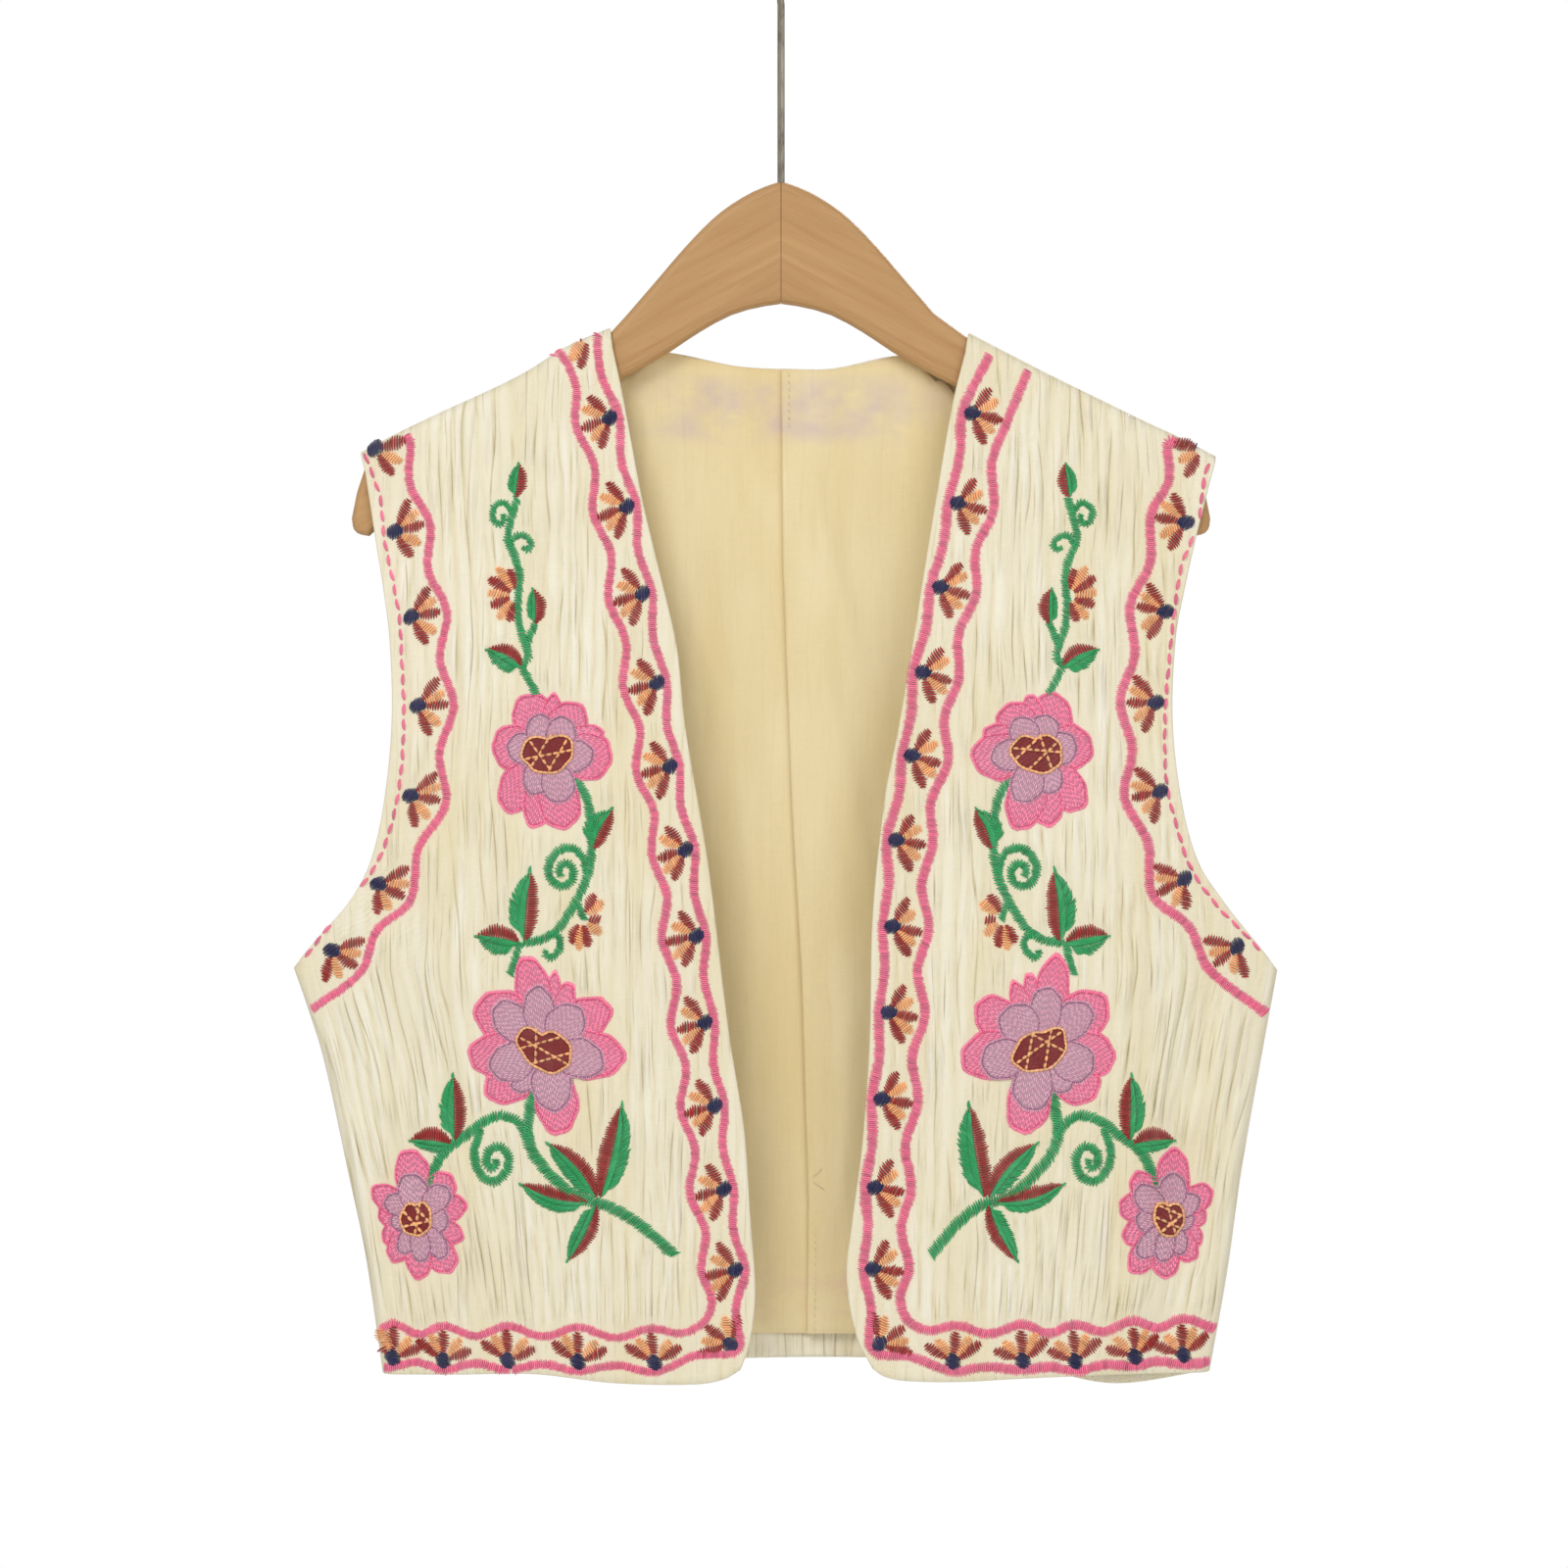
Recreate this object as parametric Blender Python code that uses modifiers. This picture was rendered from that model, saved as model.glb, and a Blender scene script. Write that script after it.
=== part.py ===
"""An embroidered cotton waistcoat, hung open on a flat wooden hanger.

The waistcoat is built as the pieces that are cut and sewn: two fronts, a back, a
two-piece back lining with an ease pleat, and the turned-up hem of the back. The
hanger is two wooden arms and a wire hook.

Sizes are in millimetres and meshes are written in metres. The origin is the inner
top of the hook, where a rail bears. +X is the viewer's right, +Y runs from the
fronts to the back, and +Z is up.
"""
import math

import bmesh
import bpy
import numpy as np

MM = 0.001
TINY = 1e-30  # keeps an unused point's zero normal from dividing by zero
NORMAL_STEP = 1e-4  # share of a panel over which its slope is measured
SHARP_ANGLE = 35.0  # degrees between faces that are shaded apart

# Cloth
OUTER_WALL = 2.0  # two layers of crinkled gauze
LINING_WALL = 1.0
TURN_UP_WALL = 1.5
SEAM_GAP = 0.3  # between pieces that meet
BODY_DROP = 150.0  # below the shoulder, where the body has most of its depth
SIDE_FOLD_RADIUS = 5.0
SIDE_FOLD_REACH = 30.0  # from the side seam to where the wall runs flat
SADDLE_DROP = 10.0  # the cloth over the hanger's edge, measured down
SADDLE_SQUARENESS = 2.6  # exponent of the rounded section over the hanger's edge
FRONT_SADDLE = 9.0  # half depth of the cloth over the hanger, at the front
BACK_SADDLE = 10.6  # and at the back, where the lining passes too
FRONT_BULGE = 13.0  # what the body adds to that depth
BACK_BULGE = 7.0
BULGE_REACH = 90.0  # from the side seam to where the body has that depth
SHOULDER_SLOPE = 0.5  # fall of the shoulders with x, past the neck
NECK_HALF = 80.0
SIDE_SAMPLES = 400
FOLD_RISE = 0.35  # of a fold's length, over which it comes up
FOLD_FALL = 0.3  # and over which it dies away
RIGHT_SEAM_TURN = 30.0  # degrees that the right shoulder seam lies forward of the top

# Hanger
BOARD = 12.0
BOARD_EDGE_RADIUS = 3.5
BOARD_EDGE_STEPS = 3
BOARD_EDGE_ANGLE = 60.0  # degrees, past which an edge is rounded
BOARD_BELOW_CLOTH = 3.1  # from the cloth's top line down to the wood, measured down
WIRE_RADIUS = 1.7
HOOK_INNER_RADIUS = 19.0
SHANK_TOP = -55.0
SHANK_DEPTH = 25.0  # in the wood
SHANK_CLEARANCE = 0.3
HOOK_START = 235.0  # degrees round the hook's bow, from where the shank meets it
HOOK_END = -15.0

# Outlines seen from the front, in x and z, from the hem up and from the side in
SIDE_LEFT = [
    (-186.0, -694.0),
    (-194.3, -638.0),
    (-202.0, -601.5),
    (-213.9, -546.7),
    (-222.5, -519.4),
    (-227.6, -505.0),
]
ARMHOLE_LEFT = [
    (-227.6, -505.0),
    (-216.6, -492.0),
    (-200.6, -473.8),
    (-191.0, -455.5),
    (-184.7, -428.2),
    (-181.0, -390.0),
    (-182.0, -352.0),
    (-185.1, -327.0),
    (-188.6, -305.0),
    (-193.3, -274.0),
]
SHOULDER_LEFT = [
    (-196.1, -264.0),
    (-178.0, -254.6),
    (-157.8, -244.9),
    (-137.3, -235.6),
    (-119.0, -226.4),
    (-100.0, -214.6),
    (-80.3, -206.1),
]
FRONT_EDGE_LEFT = [
    (-19.2, -691.0),
    (-15.0, -679.0),
    (-12.4, -655.0),
    (-14.6, -622.0),
    (-17.5, -580.0),
    (-24.6, -534.9),
    (-34.5, -455.0),
    (-45.0, -392.2),
    (-49.0, -355.0),
    (-57.5, -318.3),
    (-65.2, -285.9),
    (-74.6, -236.0),
    (-78.9, -216.0),
]
HEM_LEFT = [
    (-186.0, -694.0),
    (-150.5, -693.6),
    (-114.0, -693.0),
    (-77.0, -697.0),
    (-39.7, -697.6),
    (-26.5, -695.2),
    (-19.2, -691.0),
]
SIDE_RIGHT = [
    (200.2, -693.0),
    (208.4, -647.0),
    (214.8, -601.5),
    (224.4, -546.7),
    (229.4, -519.4),
    (231.8, -506.0),
]
ARMHOLE_RIGHT = [
    (231.8, -506.0),
    (220.2, -492.0),
    (205.7, -473.8),
    (194.0, -455.5),
    (186.4, -428.2),
    (182.0, -390.0),
    (183.6, -350.0),
    (187.9, -327.0),
    (192.8, -305.0),
    (200.0, -276.0),
]
SHOULDER_RIGHT = [
    (203.0, -266.0),
    (187.0, -257.6),
    (166.9, -248.2),
    (149.0, -239.4),
    (131.8, -231.0),
    (112.0, -221.0),
    (88.0, -208.4),
]
FRONT_EDGE_RIGHT = [
    (42.9, -690.4),
    (35.6, -676.0),
    (30.8, -648.0),
    (33.5, -622.0),
    (38.3, -585.0),
    (41.6, -536.7),
    (43.0, -480.0),
    (48.8, -424.5),
    (54.3, -397.0),
    (61.2, -357.0),
    (67.0, -320.6),
    (73.0, -284.1),
    (80.6, -241.0),
    (86.2, -218.4),
]
HEM_RIGHT = [
    (200.2, -693.0),
    (156.4, -693.6),
    (115.4, -694.8),
    (80.0, -696.5),
    (56.0, -695.8),
    (47.8, -693.8),
    (42.9, -690.4),
]
NECKLINE = [
    (-78.9, -216.0),
    (-52.4, -217.5),
    (-20.0, -223.7),
    (5.0, -225.0),
    (24.0, -224.8),
    (53.8, -219.0),
    (86.2, -218.4),
]
BACK_HEM = [
    (-186.0, -694.0),
    (-110.0, -691.0),
    (0.0, -687.6),
    (50.0, -688.0),
    (115.0, -692.0),
    (156.0, -699.5),
    (200.2, -693.0),
]

# Soft folds: x and z of the upper end, x and z of the lower end, half width,
# height out of the cloth (a trough is negative)
FRONT_FOLDS_LEFT = [
    (-217.0, -500.0, -176.0, -590.0, 7.0, 2.2),
    (-203.0, -488.0, -160.0, -565.0, 7.0, -1.8),
    (-206.0, -555.0, -184.0, -720.0, 8.0, 2.0),
    (-188.0, -560.0, -166.0, -720.0, 8.0, -1.8),
    (-150.0, -420.0, -140.0, -720.0, 12.0, 1.4),
    (-96.0, -300.0, -104.0, -720.0, 14.0, -1.5),
    (-60.0, -400.0, -44.0, -720.0, 11.0, 1.6),
    (-110.0, -215.0, -90.0, -300.0, 9.0, 1.2),
]
FRONT_FOLDS_RIGHT = [
    (220.0, -500.0, 186.0, -600.0, 7.0, 2.2),
    (206.0, -490.0, 178.0, -640.0, 8.0, -2.0),
    (216.0, -560.0, 192.0, -720.0, 7.0, 2.2),
    (203.0, -560.0, 170.0, -720.0, 8.0, -1.8),
    (176.0, -520.0, 156.0, -720.0, 9.0, 1.8),
    (140.0, -400.0, 126.0, -720.0, 13.0, -1.4),
    (96.0, -300.0, 92.0, -720.0, 14.0, 1.4),
    (62.0, -430.0, 58.0, -720.0, 10.0, -1.4),
]
BACK_FOLDS = [
    (-206.0, -510.0, -174.0, -720.0, 10.0, 2.0),
    (-150.0, -400.0, -132.0, -720.0, 16.0, -1.4),
    (-70.0, -320.0, -76.0, -720.0, 17.0, 1.4),
    (24.0, -300.0, 30.0, -720.0, 17.0, -1.2),
    (90.0, -380.0, 96.0, -720.0, 16.0, 1.4),
    (160.0, -420.0, 150.0, -720.0, 16.0, -1.4),
    (212.0, -510.0, 186.0, -720.0, 10.0, 2.0),
]
# The lining is looser than the back, and its folds fan out from the ease pleat
LINING_FOLDS = [
    (4.0, -250.0, 40.0, -380.0, 7.0, 2.4),
    (8.0, -320.0, 48.0, -500.0, 8.0, 1.8),
    (-20.0, -260.0, -50.0, -400.0, 9.0, 1.8),
    (-8.0, -400.0, -22.0, -640.0, 8.0, 1.6),
    (36.0, -480.0, 26.0, -640.0, 7.0, 1.6),
]

# Lining
LINING_REACH = 150.0  # from the centre, hidden by the fronts beyond their edges
LINING_OFF_BACK = 0.8  # between the two at rest
LINING_BELOW_EDGE = 0.8  # below the back's neckline
LINING_SHOULDER_DROP = 16.0
LINING_FOOT = -676.2
LINING_NECK = 64.0  # half the width over which the lining's edge follows the neckline
LINING_LIFT = 2.2  # how far the turned-up hem holds the lining off the back
LINING_LIFT_FROM = -560.0
TURN_UP_LAP = 4.0  # of the turned-up hem, behind the lining
TURN_UP_END = 14.0  # from the side seam

# Ease pleat: x of its folded edge at each height, z
PLEAT_EDGE = [
    (0.5, -226.0),
    (1.4, -318.0),
    (5.5, -430.0),
    (10.0, -510.0),
    (13.2, -614.0),
    (12.6, -676.2),
]
PLEAT_DEPTH = 12.0
PLEAT_LAYER = 1.4  # from the middle of one layer to the middle of the next
PLEAT_EASE = 42.0  # past the pleat, where the top layer is level with the rest
PLEAT_SEAM = 1.5  # from the folded edge to the seam behind it

# Hanger outline, for the left arm; the right arm mirrors it
ARM_TOP = [
    (9.0, -140.9),
    (4.0, -138.6),
    (0.0, -138.0),
    (-5.5, -139.4),
    (-16.9, -144.6),
    (-30.1, -153.7),
    (-43.8, -167.4),
    (-59.0, -185.0),
    (-75.2, -203.8),
]
ARM_TIP = [
    (-194.4, -272.0),
    (-198.0, -283.0),
    (-200.4, -295.0),
    (-199.6, -302.0),
    (-195.5, -304.6),
    (-190.2, -301.4),
]
ARM_UNDER = [
    (-176.0, -287.0),
    (-150.0, -269.0),
    (-110.0, -247.5),
    (-75.2, -230.3),
    (-52.4, -217.5),
    (-38.8, -208.4),
    (-21.4, -199.3),
    (0.0, -194.7),
    (9.0, -195.6),
]
UNDER_CLOTH_POINTS = 10  # of the wood's top edge, taken from the shoulder line
UNDER_CLOTH_END = 0.96  # of the shoulder line, where the wood turns down to its tip
DRILL_PROUD = 6.0  # how far the drill stands above the wood
DRILL_SIDES = 16
CUTTER_REACH = 60.0
CUTTER_HEIGHT = 600.0

# Divisions of the meshes: shares across a panel from its side, and up it
TIP_SHARE = 0.375  # of a panel's height, where the side meets the armhole
ACROSS_SIDE = [0.0, 0.004, 0.014, 0.03, 0.06]
ACROSS_FRONT = ACROSS_SIDE + [0.11, 0.18, 0.26, 0.34, 0.43, 0.52, 0.61, 0.70, 0.79, 0.87, 0.94, 1.0]
ACROSS_SHOULDER = [0.0, 0.006, 0.022, 0.05, 0.10, 0.19, 0.30, 0.42, 0.54, 0.66, 0.78, 0.89, 1.0]
UP_BODY = [0.0, 0.015, 0.045, 0.10, 0.15, 0.20, 0.25, 0.30, 0.345]
UP_ARMHOLE = [TIP_SHARE, 0.395, 0.43, 0.47, 0.53, 0.59, 0.66, 0.74, 0.82, 0.90, 0.96, 1.0]
OVER_STEPS = 5  # from the foot of the saddle to its top
FORWARD_STEPS = 2  # from the top to the right shoulder's seam
BACK_SHOULDER_SHARE = 0.27  # of the back's width that each shoulder takes
HALF = 0.5
BACK_STEPS = 14  # across the back, between the shoulders' inner ends
LINING_COLUMNS = 12  # in each half
LINING_ROWS = 18
TURN_UP_STEPS = 26
TURN_UP_ROWS = 2
ARM_TOP_STEPS = 20
ARM_UNDER_STEPS = 30
TIP_OUTER_POINTS = 3  # of the tip, taken as they are
HOOK_BEND_STEPS = 6
HOOK_BOW_STEPS = 22
PLEAT_TURN_STEPS = 3

# Colour, roughness and metallic value of each material
LOOKS = {
    "gauze": ((0.85, 0.80, 0.68), 0.9, 0.0),
    "lining_cotton": ((0.82, 0.70, 0.45), 0.85, 0.0),
    "pale_wood": ((0.50, 0.28, 0.10), 0.5, 0.0),
    "steel_wire": ((0.42, 0.40, 0.36), 0.35, 1.0),
}


def material(name):
    """A Principled material with the colour, roughness and metallic value above."""
    colour, roughness, metallic = LOOKS[name]
    made = bpy.data.materials.new(name)
    made.use_nodes = True
    shader = made.node_tree.nodes["Principled BSDF"]
    shader.inputs["Base Color"].default_value = (*colour, 1.0)
    shader.inputs["Roughness"].default_value = roughness
    shader.inputs["Metallic"].default_value = metallic
    made.diffuse_color = (*colour, 1.0)
    return made


def smooth(points):
    """A curve through the points, as a function of the share of its length."""
    p = np.array(points, float)
    d = np.concatenate([[0.0], np.cumsum(np.linalg.norm(np.diff(p, axis=0), axis=1))])
    d /= d[-1]
    slope = np.empty_like(p)
    slope[1:-1] = (p[2:] - p[:-2]) / (d[2:] - d[:-2])[:, None]
    slope[0] = (p[1] - p[0]) / (d[1] - d[0])
    slope[-1] = (p[-1] - p[-2]) / (d[-1] - d[-2])

    def at(share):
        t = np.clip(np.asarray(share, float), 0.0, 1.0)
        i = np.clip(np.searchsorted(d, t, side="right") - 1, 0, len(d) - 2)
        h = (d[i + 1] - d[i])[..., None]
        k = (t[..., None] - d[i][..., None]) / h
        start = (2 * k**3 - 3 * k**2 + 1) * p[i] + (k**3 - 2 * k**2 + k) * h * slope[i]
        end = (3 * k**2 - 2 * k**3) * p[i + 1] + (k**3 - k**2) * h * slope[i + 1]
        return start + end

    return at


def joined(curves):
    """Several curves as one; each has the share of the whole at which it ends."""

    def at(share):
        t = np.asarray(share, float)
        start = 0.0
        done = None
        for curve, end in curves:
            here = curve((t - start) / (end - start))
            done = here if done is None else np.where((t >= start)[..., None], here, done)
            start = end
        return done

    return at


def patch(left, right, low, high):
    """The points between four edge curves, for shares across and up."""

    def at(u, v):
        a, b, c, d = left(v), right(v), low(u), high(u)
        u = u[..., None]
        v = v[..., None]
        corners = (1 - v) * ((1 - u) * low(0.0) + u * low(1.0))
        corners = corners + v * ((1 - u) * high(0.0) + u * high(1.0))
        return (1 - u) * a + u * b + (1 - v) * c + v * d - corners

    return at


def lowered(points, drop):
    """The same line further down."""
    return [(x, z - drop) for x, z in points]


def round_in(t):
    """A quarter circle's rise: 0 at the seam, 1 from t = 1 on."""
    return np.sqrt(np.clip(1.0 - (1.0 - np.clip(t, 0.0, 1.0)) ** 2, 0.0, 1.0))


def ease(t):
    """0 up to t = 0 and 1 from t = 1, level at both."""
    t = np.clip(t, 0.0, 1.0)
    return t * t * (3 - 2 * t)


def folds(table, x, z):
    """The height of all folds at these points; each fades out at its upper end."""
    total = np.zeros(np.broadcast(x, z).shape)
    for x0, z0, x1, z1, half_width, height in table:
        along = np.array([x1 - x0, z1 - z0])
        length = float(np.hypot(*along))
        along = along / length
        run = (x - x0) * along[0] + (z - z0) * along[1]
        off = (x - x0) * along[1] - (z - z0) * along[0]
        fade = ease(run / (FOLD_RISE * length)) * ease((length - run) / (FOLD_FALL * length))
        total = total + height * fade * np.exp(-((off / half_width) ** 2))
    return total


def side_line(side):
    """|x| of a side seam against z; above the underarm it stays as wide as there."""
    line = smooth(side)(np.linspace(0.0, 1.0, SIDE_SAMPLES))
    return line[:, 1], np.abs(line[:, 0])


LEFT_LINE = side_line(SIDE_LEFT)
RIGHT_LINE = side_line(SIDE_RIGHT)


def inset(x, z):
    """How far a point lies in from its side seam."""
    reach = np.where(x < 0, np.interp(z, *LEFT_LINE), np.interp(z, *RIGHT_LINE))
    return np.clip(reach - np.abs(x), 0.0, None)


def bulge(most, x, z):
    """What the hanging body adds to the depth, none at the shoulder and the sides."""
    neck = np.where(x < 0, SHOULDER_LEFT[-1][1], SHOULDER_RIGHT[-1][1])
    shoulder = neck - SHOULDER_SLOPE * np.clip(np.abs(x) - NECK_HALF, 0.0, None)
    drop = np.clip(shoulder - SADDLE_DROP - z, 0.0, None)
    rise = 1.0 - np.exp(-((drop / BODY_DROP) ** 2))
    return most * rise * ease(inset(x, z) / BULGE_REACH)


def depth(saddle, most, table, x, z):
    """How far the wall's outer face lies from the side seams' plane."""
    from_side = inset(x, z)
    edge = SIDE_FOLD_RADIUS * round_in(from_side / SIDE_FOLD_RADIUS)
    edge = edge + (saddle - SIDE_FOLD_RADIUS) * round_in(from_side / SIDE_FOLD_REACH)
    raised = folds(table, x, z) * ease(from_side / SIDE_FOLD_REACH)
    return edge + bulge(most, x, z) + raised


def saddle_point(foot, top, near_depth, far_depth, turn):
    """A point of the cloth over the hanger's edge; turn is 90 at the foot, 0 on top.

    A turn below 0 is past the top, on the other side of the hanger's edge.
    """
    angle = np.radians(turn)
    power = 2.0 / SADDLE_SQUARENESS
    reach = np.where(angle < 0, far_depth, near_depth)
    out = reach * np.abs(np.sin(angle)) ** power
    up = np.abs(np.cos(angle)) ** power
    flat = foot + (top - foot) * up[..., None]
    return np.stack([flat[..., 0], out, flat[..., 1]], axis=-1)


def wall(name, outer, normal, thickness, kept, look, collection):
    """A closed wall on a grid of points: its outer face, inner face and rim."""
    inner = outer - normal * thickness
    rows, columns = outer.shape[:2]
    mesh = bmesh.new()
    corner = {}
    for side, points in (("outer", outer), ("inner", inner)):
        for i in range(rows):
            for j in range(columns):
                if kept[max(i - 1, 0) : i + 1, max(j - 1, 0) : j + 1].any():
                    corner[side, i, j] = mesh.verts.new(points[i, j] * MM)
    edges = {}
    for i in range(rows - 1):
        for j in range(columns - 1):
            if not kept[i, j]:
                continue
            ring = [(i, j), (i, j + 1), (i + 1, j + 1), (i + 1, j)]
            mesh.faces.new([corner["outer", *k] for k in ring])
            mesh.faces.new([corner["inner", *k] for k in reversed(ring)])
            for a, b in zip(ring, ring[1:] + ring[:1]):
                key = tuple(sorted((a, b)))
                edges[key] = None if key in edges else (a, b)
    for pair in edges.values():
        if pair:
            a, b = pair
            rim = [("outer", *b), ("outer", *a), ("inner", *a), ("inner", *b)]
            mesh.faces.new([corner[k] for k in rim])
    bmesh.ops.recalc_face_normals(mesh, faces=mesh.faces[:])
    return finished(name, mesh, look, collection)


def finished(name, mesh, look, collection):
    """An object from a bmesh, shaded smooth but for its sharp edges."""
    data = bpy.data.meshes.new(name)
    mesh.to_mesh(data)
    mesh.free()
    data.materials.append(look)
    data.shade_smooth()
    data.set_sharp_from_angle(angle=math.radians(SHARP_ANGLE))
    made = bpy.data.objects.new(name, data)
    collection.objects.link(made)
    return made


def normals(place, u, v, outward):
    """Unit normals of a surface that is given for shares across and up.

    Past a side seam the surface is its own mirror image, so it meets the next piece square.
    """
    across = place(u + NORMAL_STEP, v) - place(u - NORMAL_STEP, v)
    up = place(u, v + NORMAL_STEP) - place(u, v - NORMAL_STEP)
    n = np.cross(across, up)
    n /= np.maximum(np.linalg.norm(n, axis=-1, keepdims=True), TINY)
    middle = n[n.shape[0] // 3, n.shape[1] // 2]
    return n * np.sign(np.dot(middle, outward))


def front_surface(side, armhole, shoulder, edge, hem, fold_table):
    """The outer face of one front.

    Across, 0 is the side and 1 the front edge. Up, 0 is the hem, 1 the foot of the saddle
    over the hanger and 2 its top.
    """
    outer_edge = joined([(smooth(side), TIP_SHARE), (smooth(armhole), 1.0)])
    foot = smooth([armhole[-1], *lowered(shoulder[1:-1], SADDLE_DROP), edge[-1]])
    top = smooth(shoulder)
    flat = patch(outer_edge, smooth(edge), smooth(hem), foot)

    def place(u, v):
        below = v < TIP_SHARE
        turned = np.where((u < 0) & below, -1.0, 1.0)
        u = np.clip(np.where(below, np.abs(u), u), 0.0, 1.0)
        up = np.clip(v, 0.0, 1.0)
        point = flat(u, up)
        x, z = point[..., 0], point[..., 1]
        y = -turned * depth(FRONT_SADDLE, FRONT_BULGE, fold_table, x, z)
        body = np.stack([x, y, z], axis=-1)
        over = saddle_point(point, top(u), -FRONT_SADDLE, BACK_SADDLE, 90.0 * (2.0 - v))
        return np.where((v > 1.0)[..., None], over, body)

    return place


def back_surface():
    """The outer face of the back, from the left side at 0 to the right side at 1."""
    left = joined([(smooth(SIDE_LEFT), TIP_SHARE), (smooth(ARMHOLE_LEFT), 1.0)])
    right = joined([(smooth(SIDE_RIGHT), TIP_SHARE), (smooth(ARMHOLE_RIGHT), 1.0)])
    foot_left = [ARMHOLE_LEFT[-1], *lowered(SHOULDER_LEFT[1:-1], SADDLE_DROP), NECKLINE[0]]
    foot_right = [NECKLINE[-1], *lowered(SHOULDER_RIGHT[-2:0:-1], SADDLE_DROP), ARMHOLE_RIGHT[-1]]
    neck_end = 1.0 - BACK_SHOULDER_SHARE
    high = joined(
        [
            (smooth(foot_left), BACK_SHOULDER_SHARE),
            (smooth(NECKLINE), neck_end),
            (smooth(foot_right), 1.0),
        ]
    )
    shoulder_left, shoulder_right = smooth(SHOULDER_LEFT), smooth(SHOULDER_RIGHT)
    flat = patch(left, right, smooth(BACK_HEM), high)

    def place(u, v):
        below = v < TIP_SHARE
        turned = np.where(((u < 0) | (u > 1)) & below, -1.0, 1.0)
        u = np.where(below & (u < 0), -u, np.where(below & (u > 1), 2.0 - u, u))
        u = np.clip(u, 0.0, 1.0)
        up = np.clip(v, 0.0, 1.0)
        point = flat(u, up)
        x, z = point[..., 0], point[..., 1]
        y = turned * depth(BACK_SADDLE, BACK_BULGE, BACK_FOLDS, x, z)
        body = np.stack([x, y, z], axis=-1)
        near_left = shoulder_left(u / BACK_SHOULDER_SHARE)
        near_right = shoulder_right((1.0 - u) / BACK_SHOULDER_SHARE)
        top = np.where((u < HALF)[..., None], near_left, near_right)
        over = saddle_point(point, top, BACK_SADDLE, -FRONT_SADDLE, 90.0 * (2.0 - v))
        return np.where((v > 1.0)[..., None], over, body)

    return place


def make_front(name, surface, seam_turn, look, collection):
    """One front, whose shoulder seam lies seam_turn degrees forward of the top."""
    last = 2.0 - seam_turn / 90.0
    over = [1.0 + (last - 1.0) * k / OVER_STEPS for k in range(1, OVER_STEPS + 1)]
    v, u = np.meshgrid(UP_BODY + UP_ARMHOLE + over, ACROSS_FRONT, indexing="ij")
    outer = surface(u, v)
    normal = normals(surface, u, v, (0.0, -1.0, 0.0))
    outer[..., 1] -= SEAM_GAP / 2
    kept = np.ones((v.shape[0] - 1, v.shape[1] - 1), bool)
    return wall(name, outer, normal, OUTER_WALL, kept, look, collection)


def make_back(look, collection):
    """The back, which reaches over the hanger to both shoulder seams."""
    surface = back_surface()
    shoulder = [share * BACK_SHOULDER_SHARE for share in ACROSS_SHOULDER]
    middle = np.linspace(BACK_SHOULDER_SHARE, 1.0 - BACK_SHOULDER_SHARE, BACK_STEPS + 1)
    across = [*shoulder, *middle[1:-1], *(1.0 - share for share in reversed(shoulder))]
    over = [1.0 + k / OVER_STEPS for k in range(1, OVER_STEPS + 1)]
    forward = [2.0 + RIGHT_SEAM_TURN / 90.0 * k / FORWARD_STEPS for k in range(1, FORWARD_STEPS + 1)]
    v, u = np.meshgrid(UP_BODY + UP_ARMHOLE + over + forward, across, indexing="ij")
    outer = surface(u, v)
    normal = normals(surface, u, v, (0.0, 1.0, 0.0))
    outer[..., 1] += SEAM_GAP / 2
    cell_u = (u[:-1, :-1] + u[1:, 1:]) / 2
    cell_v = (v[:-1, :-1] + v[1:, 1:]) / 2
    on_left = cell_u < BACK_SHOULDER_SHARE
    on_right = cell_u > 1.0 - BACK_SHOULDER_SHARE
    kept = (cell_v < 1.0) | ((cell_v < 2.0) & on_left) | on_right
    return wall("back", outer, normal, OUTER_WALL, kept, look, collection)


def lining_height(x):
    """The lining's upper edge: under the neckline, then below the shoulders."""
    neck = np.array(NECKLINE)
    middle = np.interp(x, neck[:, 0], neck[:, 1]) - LINING_BELOW_EDGE
    beyond = np.clip(np.abs(x) - LINING_NECK, 0.0, None)
    drop = np.minimum(LINING_SHOULDER_DROP, beyond / SHOULDER_SLOPE)
    level = LINING_SHOULDER_DROP * SHOULDER_SLOPE
    return middle - drop - SHOULDER_SLOPE * np.clip(beyond - level, 0.0, None)


def lining_depth(x, z):
    """The middle of the lining's wall; it lies on the back and hangs a little off it below."""
    lift = LINING_LIFT * ease((LINING_LIFT_FROM - z) / (LINING_LIFT_FROM - LINING_FOOT))
    face = depth(BACK_SADDLE, BACK_BULGE, BACK_FOLDS, x, z) - OUTER_WALL - LINING_OFF_BACK
    loose = folds(LINING_FOLDS, x, z)
    return face - lift - loose - LINING_WALL / 2


def pleat_edge(z):
    """x of the pleat's folded edge at this height."""
    table = np.array(PLEAT_EDGE[::-1])
    return np.interp(z, table[:, 1], table[:, 0])


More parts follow.
